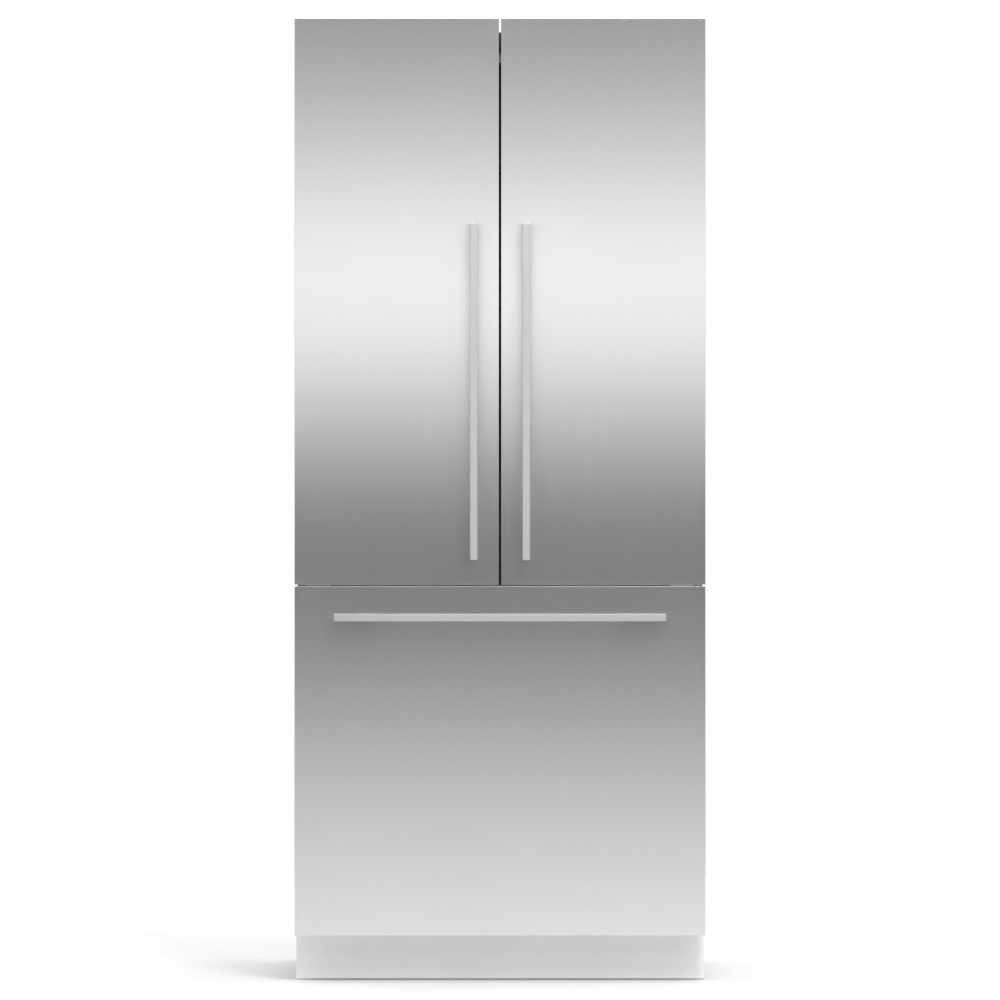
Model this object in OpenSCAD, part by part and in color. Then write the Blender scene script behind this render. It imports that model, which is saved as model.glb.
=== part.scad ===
// French door refrigerator with a pull-out freezer drawer below two doors.
// Frame: X to the right, Y to the back, Z up, origin on the floor under the middle of the box.
// Most places are given as a depth behind the face of the doors, so depth 0 is that face.

/* [Overall size] */
// Height from the floor to the top of the doors
overall_h = 2134; // [1700:1:2600]
// Width across both doors
front_w = 910; // [750:1:1100]
// Depth from the face of the doors to the back, without the handles
body_d = 610; // [500:1:740]
// Height of the drawer's lower edge above the floor
kick_h = 103; // [95:1:130]
// Height of the drawer's face
drawer_face_h = 774; // [650:1:940]

/* [Doors and drawer front] */
// Gap between the two doors
door_gap = 5; // [4:0.5:8]
// Gap between the doors and the drawer
drawer_gap = 3; // [2:0.5:6]
// Depth of the folded steel front
panel_t = 20; // [16:1:26]
// Thickness of the folded steel
sheet_t = 1.2; // [0.8:0.1:2]
// Thickness of the insulated core behind the steel front
core_t = 42; // [35:1:55]
// Thickness of the moulded inner skin of a door
skin_t = 3; // [2:0.5:5]
// Height of the ridge on a door's inner skin
ridge_h = 38; // [25:1:45]
// Width of that ridge
ridge_w = 14; // [10:1:20]
// Width of the magnetic seal
gasket_w = 14; // [10:1:16]
// Thickness of the magnetic seal
gasket_t = 8; // [6:1:12]

/* [Handles] */
// Width of the square handle bar
bar_w = 16; // [12:1:24]
// Thickness of the bar
bar_t = 12; // [8:1:16]
// How far the bar's face stands in front of the doors
handle_reach = 45; // [38:1:60]
// Length of a door handle
handle_len = 744; // [500:1:900]
// Length of the drawer handle
drawer_handle_len = 732; // [500:1:740]
// Length of each foot that carries a bar
foot_len = 100; // [60:1:130]
// Thickness of each foot
foot_w = 10; // [6:1:12]
// Middle of a door handle from the middle of the front
handle_from_middle = 58; // [45:1:90]
// Middle of the drawer handle below the drawer's upper edge
drawer_handle_drop = 69; // [50:1:120]
// Lower end of a door handle above the door's lower edge
door_handle_lift = 55; // [30:1:120]

/* [Cabinet] */
// How far the cabinet is set in from the sides of the doors
side_inset = 4; // [2:0.5:8]
// Insulated side wall
wall_t = 55; // [45:1:70]
// Insulated back wall
back_wall_t = 60; // [50:1:80]
// Insulated roof
roof_t = 45; // [40:1:70]
// Height of the insulated rail between fridge and freezer
cross_rail_h = 90; // [80:1:110]
// Insulated floor of the freezer
floor_t = 50; // [40:1:60]
// Sheet steel of the outer cabinet
shell_t = 1; // [0.8:0.1:1.5]
// Wall of the moulded liners
liner_t = 2; // [1.5:0.5:4]
// Depth of the compartment for the compressor
machine_d = 190; // [175:1:230]
// Height of that compartment
machine_h = 200; // [190:1:240]

/* [Moving pieces] */
// Radius of the door hinge pins
hinge_pin_r = 5; // [4:0.5:6]
// Radius of the mullion's pins
mullion_pin_r = 4; // [3:0.5:5]
// Running clearance of a pin in its bore
run_gap = 0.1; // [0.05:0.01:0.1]
// Width of the flap that closes the gap between the doors
mullion_w = 75; // [64:1:84]
// Thickness of that flap
mullion_t = 18; // [14:1:20]
// Radius of the rear rollers
roller_r = 20; // [16:1:22]
// Radius of both fans
fan_r = 58; // [45:1:62]

/* [Inside] */
// Glass shelves above the crispers
shelf_count = 3; // [2:1:4]
// Thickness of the glass
glass_t = 4; // [3:1:6]
// Depth of a door bin
bin_d = 100; // [70:1:110]
// Height of a door bin
bin_h = 95; // [60:1:110]
// Height of the crispers' space
crisper_space = 200; // [150:1:240]
// Wall of bins, baskets and crispers
bin_wall = 3; // [2:0.5:4]
// Depth of the sliding freezer tray
tray_d = 188; // [120:1:220]
// Height of the sliding freezer tray
tray_h = 92; // [60:1:120]

/* [Hidden] */
$fn = 48;
eps = 1; // how far a cutter runs past the face that it opens

// Depths
face_y = handle_reach - (body_d + handle_reach) / 2;
core_end = panel_t + core_t;
door_t = core_end + skin_t;
seal_gap = 1;
cab_front = door_t + gasket_t + seal_gap;
frame_t = 2;
foam_front = cab_front + frame_t;
cavity_back = body_d - back_wall_t;

// Widths
half_w = front_w / 2;
cab_half = half_w - side_inset;
foam_half = cab_half - shell_t;
cavity_half = cab_half - wall_t;
meeting_x = -door_gap / 2;

// Heights
chassis_top = 100;
plate_t = 2;
side_bottom = 30;
hinge_room = 24;
cab_top = overall_h - hinge_room;
foam_top = cab_top - shell_t;
drawer_top = kick_h + drawer_face_h;
door_bottom = drawer_top + drawer_gap;
fridge_floor = door_bottom + cross_rail_h / 2;
fridge_roof = cab_top - roof_t;
freezer_floor = chassis_top + floor_t;
freezer_roof = door_bottom - cross_rail_h / 2;

// Step in the freezer's floor over the compressor
hump_wall = 40;
machine_front = body_d - machine_d;
machine_top = chassis_top + machine_h;
machine_half = cab_half - 41;
hump_front = machine_front - hump_wall;
hump_top = machine_top + hump_wall;

// Angle that ties the roof to the wall
anti_tip_w = 500;
anti_tip_leg = 60;
anti_tip_t = 3;
anti_tip_hole_r = 3;
anti_tip_pitch = 400;
anti_tip_hole_z = cab_top + 13;

// Door hinges
hinge_in = 16;
hinge_depth = panel_t + 12;
hinge_x = -half_w + hinge_in;
hinge_plate_t = 6;
hinge_clear = 4;
hinge_tab_r = 10;
core_top = cab_top - hinge_clear;
upper_plate_z = cab_top;
lower_plate_z = door_bottom + hinge_clear;
core_bottom = lower_plate_z + hinge_plate_t + hinge_clear;
pin_in_core = 20;
pin_end_gap = 2;
core_in_hinge = 7;
core_in_meeting = 6;
arm_in = 10;
arm_w = 52;
arm_reach = 78;
arm_overlap = 4;
flange_reach = cab_front - hinge_depth;
flange_t = 4;
flange_drop = 26;
screw_r = 3;
screw_head_r = 6;
screw_head_h = 3;
screw_edge = 10;
screw_xs = [arm_in + screw_edge, arm_in + arm_w / 2, arm_in + arm_w - screw_edge];
upper_screw_depth = hinge_depth + arm_reach - 12;
lower_screw_z = lower_plate_z - flange_drop / 2;

// Seals
gasket_from_edge = 6;
meeting_seal_x = -12;

// Mullion flap and its guide
mullion_r = mullion_t / 2;
mullion_x = meeting_seal_x - gasket_w - 4;
mullion_depth = cab_front + seal_gap + mullion_r;
mullion_reach = mullion_w - mullion_r;
mullion_bottom = fridge_floor + 22;
mullion_top = fridge_roof - 34;
lug_t = 7;
lug_gap = 1;
lug_r = 8;
mullion_pin_len = 15;
guide_pin_r = 4;
guide_pin_at = 50;
guide_pin_h = 14;
guide_slot_half = guide_pin_r + 1.5;
guide_bottom = mullion_top + lug_t + 3;
guide_roof = 5;
guide_wall = 8;
guide_setback = 4;

// Door ridge, bins
ridge_side_gap = 11;
ridge_end_gap = 10;
ridge_out = -(cavity_half - ridge_side_gap);
ridge_in = mullion_x - mullion_r - 13;
ridge_bottom = fridge_floor + ridge_end_gap;
ridge_top = fridge_roof - ridge_end_gap;
bin_x0 = ridge_out + ridge_w;
bin_x1 = ridge_in - ridge_w;
bins_from = fridge_floor + crisper_space + 25;
bins_to = ridge_top - ridge_w - 4;
bin_count = 3;
bin_pitch = (bins_to - bins_from) / bin_count;
lid_t = 3;
lid_pin_r = 2;
lid_pin_in = 0.5;
lid_barrel_r = 3;
lid_axis_in = 8;
lid_side = 3;
lid_lift = 4;
lid_over = 2;
lid_ear = 6;
lid_axis_depth = door_t + lid_axis_in;
lid_z = bins_from + (bin_count - 1) * bin_pitch + bin_h + lid_lift;

// Shelves
bin_clear = 18;
shelf_front = door_t + bin_d + bin_clear;
shelf_side_gap = 8;
shelf_half = cavity_half - shelf_side_gap;
trim_d = 8;
trim_up = 6;
trim_down = 8;
trim_bite = 2;
duct_d = 28;
duct_half = 110;
shelf_back = cavity_back - duct_d - 1;
shelf_floor = fridge_floor + crisper_space;
shelf_pitch = (fridge_roof - shelf_floor) / (shelf_count + 1);
bracket_t = 3;
ladder_from_wall = 130;
ladder_x = cavity_half - ladder_from_wall;
ladder_w = 14;
ladder_t = 5;
slot_pitch = 40;
slot_w = 4;
slot_h = 14;

// Control panel under the roof
panel_half = 120;
panel_front = shelf_front - 7;
panel_deep = 64;
panel_drop = 22;

// Crispers
runner_h = 6;
runner_w = 10;
runner_in = 30;
support_gap = 0.5;
slide_gap = 0.3;
crisper_front = shelf_front + 30;
crisper_back = shelf_back - 12;
crisper_top = shelf_floor - 22;
support_half = -mullion_x + mullion_r + 3;
crisper_mid_gap = support_half + 4;
crisper_side_gap = 10;
grip_t = 8;
grip_h = 34;

// Telescopic slides of the drawer
rail_z = freezer_roof - 175;
rail_front = cab_front + 6;
rail_wall = 1.6;
rail_gap = 0.5;
outer_w = 11;
outer_h = 46;
middle_w = outer_w - rail_wall - 2 * rail_gap;
middle_h = outer_h - 2 * (rail_wall + rail_gap);
inner_h = middle_h - 2 * (rail_wall + rail_gap);
ledge_t = 2;
ledge_w = 30;

// Freezer duct, evaporator, baskets
duct_plate_t = 5;
air_return = 5;
evaporator_d = 35;
evaporator_front = cavity_back - evaporator_d - 2;
freezer_duct_front = evaporator_front - duct_plate_t - 3;
rail_back = freezer_duct_front - 5;
rim_z = rail_z + inner_h / 2;
rim_t = 3;
basket_half = cavity_half - 44;
basket_front = door_t + 20;
basket_back = freezer_duct_front - 13;
basket_floor = freezer_floor + 15;
hump_gap = 10;
rim_out = 22;
tray_rim_out = 16;
tray_front = basket_front + bin_wall + 4;
tray_half = basket_half - bin_wall - 3;
tray_rim = rim_z + rim_t + slide_gap;
fan_hub_r = 18;
fan_t = 20;
fan_gap = 6;
blade_count = 7;
blade_t = 2;
shaft_r = 3;
fan_lift = 1;
spoke_w = 8;
spoke_t = 3;
post_w = 5;
post_t = 5;
motor_r = 16;
fan_z = freezer_roof - fan_r - fan_gap - 10;
evaporator_bottom = hump_top + 30;
evaporator_top = fan_z - fan_r - 22;

// Machine compartment
control_w = 75;
comp_r = 76;
comp_reach = comp_r + 22;
comp_x = machine_half - control_w - comp_reach - 37;
comp_depth = machine_front + 95;
comp_tray_half = [90, 70];
comp_foot_h = 8;
comp_tray_t = 4;
fan_x = -165;
fan_c_depth = machine_front + 95;
fan_c_z = chassis_top + 105;
shroud_t = 4;
condenser_x0 = -machine_half + 20;
condenser_x1 = fan_x - shroud_t;
fin_t = 1.5;
pan_h = 24;
pan_wall = 2;
inlet_w = 30;
inlet_d = 25;
inlet_h = 24;
inlet_x = machine_half - 45;
inlet_z = chassis_top + 100;

// Chassis, feet and rollers
beam_w = 40;
beam_bottom = 42;
beam_wall = 3;
beam_front = cab_front + 16;
beam_back = body_d - 5;
foot_x = cab_half - shell_t - beam_w / 2;
foot_depth = beam_front + 22;
stud_r = 5;
boss_r = 12;
boss_bottom = 60;
pad_r = 18;
pad_h = 10;
stud_top = 90;
nut_r = 9;
nut_h = 6;
nut_z = 18;
roller_w = 24;
roller_depth = beam_back - 45;
axle_r = 5;
kick_back = 66;
kick_t = 3;
kick_lift = 2;
kick_overlap = 4;

// ---- helpers ----

// A box between two corners: x, depth behind the doors' face, and height.
module box(x0, x1, d0, d1, z0, z1) {
    translate([x0, face_y + d0, z0]) cube([x1 - x0, d1 - d0, z1 - z0]);
}

// Its children, drawn as depth against height, pushed from x0 to x1.
module across(x0, x1) {
    translate([x0, face_y, 0]) rotate([90, 0, 90]) linear_extrude(x1 - x0) children();
}

// A round bar that stands on z0.
module post(r, x, d, z0, z1) {
    translate([x, face_y + d, z0]) cylinder(r = r, h = z1 - z0);
}

// A round bar along X.
module bar_x(r, x0, x1, d, z) {
    translate([x0, face_y + d, z]) rotate([0, 90, 0]) cylinder(r = r, h = x1 - x0);
}

// A round bar along Y.
module bar_y(r, x, d0, d1, z) {
    translate([x, face_y + d0, z]) rotate([-90, 0, 0]) cylinder(r = r, h = d1 - d0);
}

// A box with no top, with its wall inside the given size.
module open_box(x0, x1, d0, d1, z0, z1, wall) {
    difference() {
        box(x0, x1, d0, d1, z0, z1);
        box(x0 + wall, x1 - wall, d0 + wall, d1 - wall, z0 + wall, z1 + eps);
    }
}

// A flat ring that faces the front, from its outer corners and its width.
module front_ring(x0, x1, d0, d1, z0, z1, w) {
    difference() {
        box(x0, x1, d0, d1, z0, z1);
        box(x0 + w, x1 - w, d0 - eps, d1 + eps, z0 + w, z1 - w);
    }
}

// The children and their mirror image across the middle.
module both_sides() {
    children();
    mirror([1, 0, 0]) children();
}

// Folded steel front: a face with a return along each edge.
module folded_front(x0, x1, z0, z1) {
    difference() {
        box(x0, x1, 0, panel_t, z0, z1);
        box(x0 + sheet_t, x1 - sheet_t, sheet_t, panel_t + eps, z0 + sheet_t, z1 - sheet_t);
    }
}

// Impeller about Z, with its hub bored for a shaft.
module impeller() {
    difference() {
        union() {
            cylinder(r = fan_hub_r, h = fan_t);
            intersection() {
                cylinder(r = fan_r, h = fan_t);
                for (i = [0 : blade_count - 1])
                    rotate([0, 0, i * 360 / blade_count])
                        translate([fan_hub_r - 3, 0, fan_t / 2])
                            rotate([38, 0, 0])
                                translate([0, -fan_t / 2, -blade_t / 2])
                                    cube([fan_r, fan_t, blade_t]);
            }
        }
        translate([0, 0, -eps]) cylinder(r = shaft_r + run_gap, h = fan_t + 2 * eps);
    }
}

// Motor, shaft, spokes and posts of a fan, about Z, on a plate whose face is at z = 0.
module fan_motor(motor_h) {
    motor_z = fan_lift + fan_t + 1;
    spoke_z = motor_z + 1;
    post_at = fan_r + fan_gap + 2;
    translate([0, 0, fan_lift + 1]) cylinder(r = shaft_r, h = fan_t + 2);
    translate([0, 0, motor_z]) cylinder(r = motor_r, h = motor_h);
    for (i = [0 : 2])
        rotate([0, 0, 90 + i * 120]) {
            translate([0, -spoke_w / 2, spoke_z])
                cube([post_at + post_t + 1, spoke_w, spoke_t]);
            translate([post_at, -post_w / 2, -1])
                cube([post_t, post_w, spoke_z + spoke_t / 2 + 1]);
        }
}

// Fins on parallel tubes: fins stand across X.
module fin_pack(x0, x1, d0, d1, z0, z1, fins, tube_r, rows) {
    for (i = [0 : fins - 1]) {
        x = x0 + tube_r + (x1 - x0 - 2 * tube_r - fin_t) * i / (fins - 1);
        box(x, x + fin_t, d0, d1, z0, z1);
    }
    for (r = [0 : rows - 1])
        bar_x(tube_r, x0, x1, (d0 + d1) / 2, z0 + (z1 - z0) * (r + 0.5) / rows);
}

// ---- cabinet ----

module side_panels() {
    color("lightgray") both_sides()
        box(-cab_half, -foam_half, cab_front, body_d, side_bottom, cab_top);
}

module top_panel() {
    color("lightgray") box(-foam_half, foam_half, cab_front, body_d, foam_top, cab_top);
}

module back_panel() {
    color("silver")
        box(-foam_half, foam_half, body_d - shell_t, body_d, machine_top, foam_top);
}

module rear_grille() {
    slot_step = 20;
    grille_slot = 8;
    slot_margin = 20;
    slots_from = -machine_half + slot_margin;
    slots = floor((comp_x - slots_from) / slot_step);
    color("silver") difference() {
        box(-foam_half, foam_half, body_d - shell_t, body_d, chassis_top, machine_top);
        for (i = [0 : slots - 1])
            box(slots_from + i * slot_step, slots_from + i * slot_step + grille_slot,
                body_d - shell_t - eps, body_d + eps, chassis_top + pan_h + slot_margin,
                machine_top - slot_margin);
        box(inlet_x - inlet_w / 2, inlet_x + inlet_w / 2, body_d - shell_t - eps,
            body_d + eps, inlet_z, inlet_z + inlet_h);
    }
}

// Side view of the freezer's space, grown all round and carried past its mouth.
module freezer_outline(grow, past) {
    polygon([[foam_front - past, freezer_floor - grow],
        [hump_front + grow, freezer_floor - grow],
        [hump_front + grow, hump_top - grow],
        [cavity_back + grow, hump_top - grow],
        [cavity_back + grow, freezer_roof + grow],
        [foam_front - past, freezer_roof + grow]]);
}

module cabinet_foam() {
    color("khaki") difference() {
        box(-foam_half, foam_half, foam_front, body_d - shell_t, chassis_top, foam_top);
        box(-cavity_half - liner_t, cavity_half + liner_t, foam_front - eps,
            cavity_back + liner_t, fridge_floor - liner_t, fridge_roof + liner_t);
        across(-cavity_half - liner_t, cavity_half + liner_t)
            freezer_outline(liner_t, eps);
        box(-machine_half, machine_half, machine_front, body_d, chassis_top - eps, machine_top);
    }
}

module fridge_liner() {
    color("white") {
        difference() {
            box(-cavity_half - liner_t, cavity_half + liner_t, foam_front,
                cavity_back + liner_t, fridge_floor - liner_t, fridge_roof + liner_t);
            box(-cavity_half, cavity_half, foam_front - eps, cavity_back,
                fridge_floor, fridge_roof);
        }
        both_sides() for (x = [crisper_mid_gap + runner_in, cavity_half - 2 * runner_in])
            box(x, x + runner_w, crisper_front, crisper_back, fridge_floor,
                fridge_floor + runner_h - slide_gap);
    }
}

module freezer_liner() {
    color("white") difference() {
        across(-cavity_half - liner_t, cavity_half + liner_t) freezer_outline(liner_t, 0);
        across(-cavity_half, cavity_half) freezer_outline(0, eps);
    }
}

module face_frame() {
    color("gainsboro") difference() {
        box(-foam_half, foam_half, cab_front, foam_front, chassis_top, foam_top);
        box(-cavity_half, cavity_half, cab_front - eps, foam_front + eps,
            fridge_floor, fridge_roof);
        box(-cavity_half, cavity_half, cab_front - eps, foam_front + eps,
            freezer_floor, freezer_roof);
    }
}

// A downward channel of the chassis.
module channel(x0, x1, d0, d1) {
    difference() {
        box(x0, x1, d0, d1, beam_bottom, chassis_top - plate_t);
        box(x0 + beam_wall, x1 - beam_wall, d0 + beam_wall, d1 - beam_wall,
            beam_bottom - eps, chassis_top - plate_t - beam_wall);
    }
}

module base_chassis() {
    fork_in = roller_w / 2 + 2;
    fork_half = 15;
    fork_bottom = roller_r - 8;
    color("dimgray") difference() {
        union() {
            box(-foam_half, foam_half, foam_front, body_d - shell_t,
                chassis_top - plate_t, chassis_top);
            both_sides() {
                channel(-foam_half, -foam_half + beam_w, beam_front, beam_back);
                post(boss_r, -foot_x, foot_depth, boss_bottom, chassis_top - plate_t);
                for (x = [-foot_x - fork_in - beam_wall, -foot_x + fork_in])
                    box(x, x + beam_wall, roller_depth - fork_half,
                        roller_depth + fork_half, fork_bottom, chassis_top - plate_t);
                bar_x(axle_r, -foot_x - fork_in - beam_wall, -foot_x + fork_in + beam_wall,
                    roller_depth, roller_r);
            }
            channel(-foam_half + beam_w - beam_wall, foam_half - beam_w + beam_wall,
                beam_front, beam_front + beam_w);
            channel(-foam_half + beam_w - beam_wall, foam_half - beam_w + beam_wall,
                beam_back - beam_w, beam_back);
        }
        both_sides()
            post(stud_r + run_gap, -foot_x, foot_depth, boss_bottom - eps,
                chassis_top - plate_t - beam_wall);
    }
}

module toe_kick() {
    kick_inset = 1;
    tab_x = 200;
    tab_w = 40;
    tab_bottom = 60;
    tab_top = 85;
    color("gainsboro") {
        box(-half_w + kick_inset, half_w - kick_inset, kick_back, kick_back + kick_t,
            kick_lift, kick_h + kick_overlap);
        both_sides()
            box(tab_x, tab_x + tab_w, kick_back + kick_t, beam_front, tab_bottom, tab_top);
    }
}

// Angle on the roof at the back, drilled for two screws into the wall behind.
module anti_tip_bracket() {
    color("silver") difference() {
        union() {
            box(-anti_tip_w / 2, anti_tip_w / 2, body_d - anti_tip_leg, body_d, cab_top,
                cab_top + anti_tip_t);
            box(-anti_tip_w / 2, anti_tip_w / 2, body_d - anti_tip_t, body_d, cab_top,
                overall_h);
        }
        both_sides()
            bar_y(anti_tip_hole_r, anti_tip_pitch / 2, body_d - anti_tip_t - eps,
                body_d + eps, anti_tip_hole_z);
    }
}

// ---- hinges ----

// Plan of a hinge arm, about the hinge axis: it reaches in and back, clear of the turning door.
module arm_plan(reach) {
    circle(r = hinge_tab_r);
    polygon([[-hinge_tab_r + 0.5, 3], [hinge_tab_r, -1], [arm_in + arm_w, reach - 6],
        [arm_in + arm_w, reach], [arm_in, reach]]);
}

module upper_hinges() {
    color("silver") both_sides() difference() {
        union() {
            translate([hinge_x, face_y + hinge_depth, upper_plate_z])
                linear_extrude(hinge_plate_t) {
                    arm_plan(flange_reach);
                    translate([arm_in, flange_reach - arm_overlap])
                        square([arm_w, arm_reach - flange_reach + arm_overlap]);
                }
            post(hinge_pin_r, hinge_x, hinge_depth, core_top - pin_in_core,
                upper_plate_z + hinge_plate_t);
        }
        for (x = screw_xs)
            post(screw_r, hinge_x + x, upper_screw_depth, upper_plate_z - eps,
                upper_plate_z + hinge_plate_t + eps);
    }
}

module center_hinges() {
    color("silver") both_sides() difference() {
        union() {
            translate([hinge_x, face_y + hinge_depth, lower_plate_z])
                linear_extrude(hinge_plate_t) arm_plan(flange_reach);
            box(hinge_x + arm_in, hinge_x + arm_in + arm_w, cab_front - flange_t, cab_front,
                lower_plate_z - flange_drop, lower_plate_z + hinge_plate_t);
            post(hinge_pin_r, hinge_x, hinge_depth, lower_plate_z,
                core_bottom + pin_in_core);
        }
        for (x = screw_xs)
            bar_y(screw_r, hinge_x + x, cab_front - flange_t - eps, cab_front + eps,
                lower_screw_z);
    }
}

module hinge_screws() {
    color("gray") both_sides() for (x = screw_xs) {
        post(screw_r, hinge_x + x, upper_screw_depth, upper_plate_z,
            upper_plate_z + hinge_plate_t);
        post(screw_head_r, hinge_x + x, upper_screw_depth, upper_plate_z + hinge_plate_t,
            upper_plate_z + hinge_plate_t + screw_head_h);
        bar_y(screw_r, hinge_x + x, cab_front - flange_t, cab_front, lower_screw_z);
        bar_y(screw_head_r, hinge_x + x, cab_front - flange_t - screw_head_h,
            cab_front - flange_t, lower_screw_z);
    }
}

// ---- fridge compartment ----

module shelf_ladders() {
    z0 = shelf_floor + 20;
    z1 = fridge_roof - 30;
    end_margin = 12;
    web_t = 2;
    color("silver") both_sides() difference() {
        box(ladder_x - ladder_w / 2, ladder_x + ladder_w / 2, cavity_back - ladder_t,
            cavity_back, z0, z1);
        for (z = [z0 + end_margin : slot_pitch : z1 - slot_h - end_margin])
            box(ladder_x - slot_w / 2, ladder_x + slot_w / 2, cavity_back - ladder_t - eps,
                cavity_back - web_t, z, z + slot_h);
    }
}

// Front and back trims of the shelf whose glass lies on z.
module shelf_trims(z) {
    for (d = [shelf_front, shelf_back - trim_d])
        box(-shelf_half, shelf_half, d, d + trim_d, z - trim_down, z + trim_up);
}

// A shelf's trims with the two arms that hook on the ladders.
module shelf_frame(z) {
    arm_h = 40;
    arm_front = shelf_front + trim_d - trim_bite;
    shelf_trims(z);
    both_sides() across(ladder_x - bracket_t / 2, ladder_x + bracket_t / 2)
        polygon([[arm_front, z], [arm_front, z - trim_down],
            [cavity_back - ladder_t, z - arm_h], [cavity_back - ladder_t, z]]);
}

// Frame over the crispers: trims, a hollow middle support and a rest along each side wall.
module crisper_frame(z) {
    rest_w = 12;
    support_front = crisper_front + 4;
    support_back = shelf_back - trim_d + trim_bite;
    shelf_trims(z);
    difference() {
        box(-support_half, support_half, support_front, support_back,
            fridge_floor + support_gap, z);
        box(-support_half + bin_wall, support_half - bin_wall, support_front + bin_wall,
            shelf_back, fridge_floor, z - bin_wall);
    }
    both_sides()
        box(shelf_half - rest_w, cavity_half, shelf_front + trim_d - trim_bite,
            support_back, z - trim_down, z);
}

module shelf_frames() {
    color("whitesmoke") {
        crisper_frame(shelf_floor);
        for (i = [1 : shelf_count]) shelf_frame(shelf_floor + i * shelf_pitch);
    }
}

module shelf_glass() {
    color("lightcyan") for (i = [0 : shelf_count])
        box(-shelf_half, shelf_half, shelf_front + trim_d, shelf_back - trim_d,
            shelf_floor + i * shelf_pitch, shelf_floor + i * shelf_pitch + glass_t);
}

module air_duct() {
    z0 = shelf_floor + 30;
    z1 = fridge_roof - 12;
    vent_count = 6;
    vent_h = 10;
    vent_d = 8;
    vent_edge = 20;
    vent_pitch = (z1 - z0) / vent_count;
    vent_front = cavity_back - duct_d;
    color("white") difference() {
        box(-duct_half, duct_half, vent_front, cavity_back, z0, z1);
        for (i = [0 : vent_count - 1]) {
            vent_z = z0 + (i + 0.5) * vent_pitch - vent_h / 2;
            both_sides()
                box(vent_edge, duct_half - vent_edge, vent_front - eps, vent_front + vent_d,
                    vent_z, vent_z + vent_h);
        }
    }
}

module light_bars() {
    light_t = 4;
    light_w = 14;
    light_depth = cab_front + 46;
    end_gap = 60;
    color("ivory") both_sides()
        box(cavity_half - light_t, cavity_half, light_depth, light_depth + light_w,
            shelf_floor + end_gap, fridge_roof - end_gap);
}

module control_panel() {
    window_edge = 12;
    window_d = 2;
    lip = 4;
    color("whitesmoke") difference() {
        box(-panel_half, panel_half, panel_front, panel_front + panel_deep,
            fridge_roof - panel_drop, fridge_roof);
        box(-panel_half + window_edge, panel_half - window_edge, panel_front - eps,
            panel_front + window_d, fridge_roof - panel_drop + lip, fridge_roof - lip);
    }
}

// Ring-shaped slot about a point, cut upwards into the guide block.
module guide_slot(r, x, d) {
    difference() {
        post(r + guide_slot_half, x, d, guide_bottom - eps, fridge_roof - guide_roof);
        post(r - guide_slot_half, x, d, guide_bottom - 2 * eps, fridge_roof);
    }
}

// Block on the roof whose slots steer the mullion's pin: one slot follows the flap as it
// swings across, the other lets the pin in and out as the door turns.
module mullion_guide() {
    x0 = mullion_x - guide_slot_half;
    pin_depth = mullion_depth + guide_pin_at;
    door_arc = norm([mullion_x - hinge_x, pin_depth - hinge_depth]);
    color("whitesmoke") difference() {
        box(x0 - guide_wall, mullion_x + guide_pin_at + guide_slot_half + guide_wall,
            cab_front + guide_setback, pin_depth + guide_slot_half + guide_wall,
            guide_bottom, fridge_roof);
        intersection() {
            guide_slot(guide_pin_at, mullion_x, mullion_depth);
            box(x0, mullion_x + guide_pin_at + guide_slot_half,
                mullion_depth - guide_slot_half, pin_depth + guide_slot_half,
                guide_bottom - 2 * eps, fridge_roof);
        }
        intersection() {
            guide_slot(door_arc, hinge_x, hinge_depth);
            box(x0, mullion_x + guide_pin_at, cab_front, pin_depth,
                guide_bottom - 2 * eps, fridge_roof);
        }
        post(guide_slot_half, mullion_x, pin_depth, guide_bottom - eps,
            fridge_roof - guide_roof);
    }
}

// ---- freezer compartment ----

// Its children, drawn about Z, turned to blow backwards from the freezer's duct.
module at_evaporator_fan() {
    translate([0, face_y + freezer_duct_front + duct_plate_t, fan_z]) rotate([-90, 0, 0])
        children();
}

module freezer_duct() {
    vent_count = 6;
    vent_pitch = 34;
    vent_w = 24;
    vent_h = 10;
    vent_from = fan_r + 30;
    vent_z = freezer_roof - 75;
    motor_h = 13;
    color("white") {
        difference() {
            box(-cavity_half, cavity_half, freezer_duct_front,
                freezer_duct_front + duct_plate_t, hump_top + air_return, freezer_roof);
            bar_y(fan_r + fan_gap, 0, freezer_duct_front - eps,
                freezer_duct_front + duct_plate_t + eps, fan_z);
            both_sides() for (i = [0 : vent_count - 1])
                box(vent_from + i * vent_pitch, vent_from + i * vent_pitch + vent_w,
                    freezer_duct_front - eps, freezer_duct_front + duct_plate_t + eps,
                    vent_z, vent_z + vent_h);
        }
        at_evaporator_fan() fan_motor(motor_h);
    }
}

module evaporator() {
    side_space = 96;
    fin_count = 20;
    tube_r = 5;
    tube_rows = 5;
    half = cavity_half - side_space;
    color("lightsteelblue")
        fin_pack(-half, half, evaporator_front, cavity_back, evaporator_bottom,
            evaporator_top, fin_count, tube_r, tube_rows);
}

module evaporator_fan() {
    color("dimgray") at_evaporator_fan() translate([0, 0, fan_lift]) impeller();
}

// One pair of slide members: channels open towards the middle, their backs at x1.
module slide_pair(x1, w, h) {
    both_sides() difference() {
        box(x1 - w, x1, rail_front, rail_back, rail_z - h / 2, rail_z + h / 2);
        box(x1 - w - eps, x1 - rail_wall, rail_front - eps, rail_back + eps,
            rail_z - h / 2 + rail_wall, rail_z + h / 2 - rail_wall);
    }
}

module slide_outer() {
    color("silver") slide_pair(cavity_half, outer_w, outer_h);
}

module slide_middle() {
    color("gainsboro") slide_pair(cavity_half - rail_wall - rail_gap, middle_w, middle_h);
}

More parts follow.
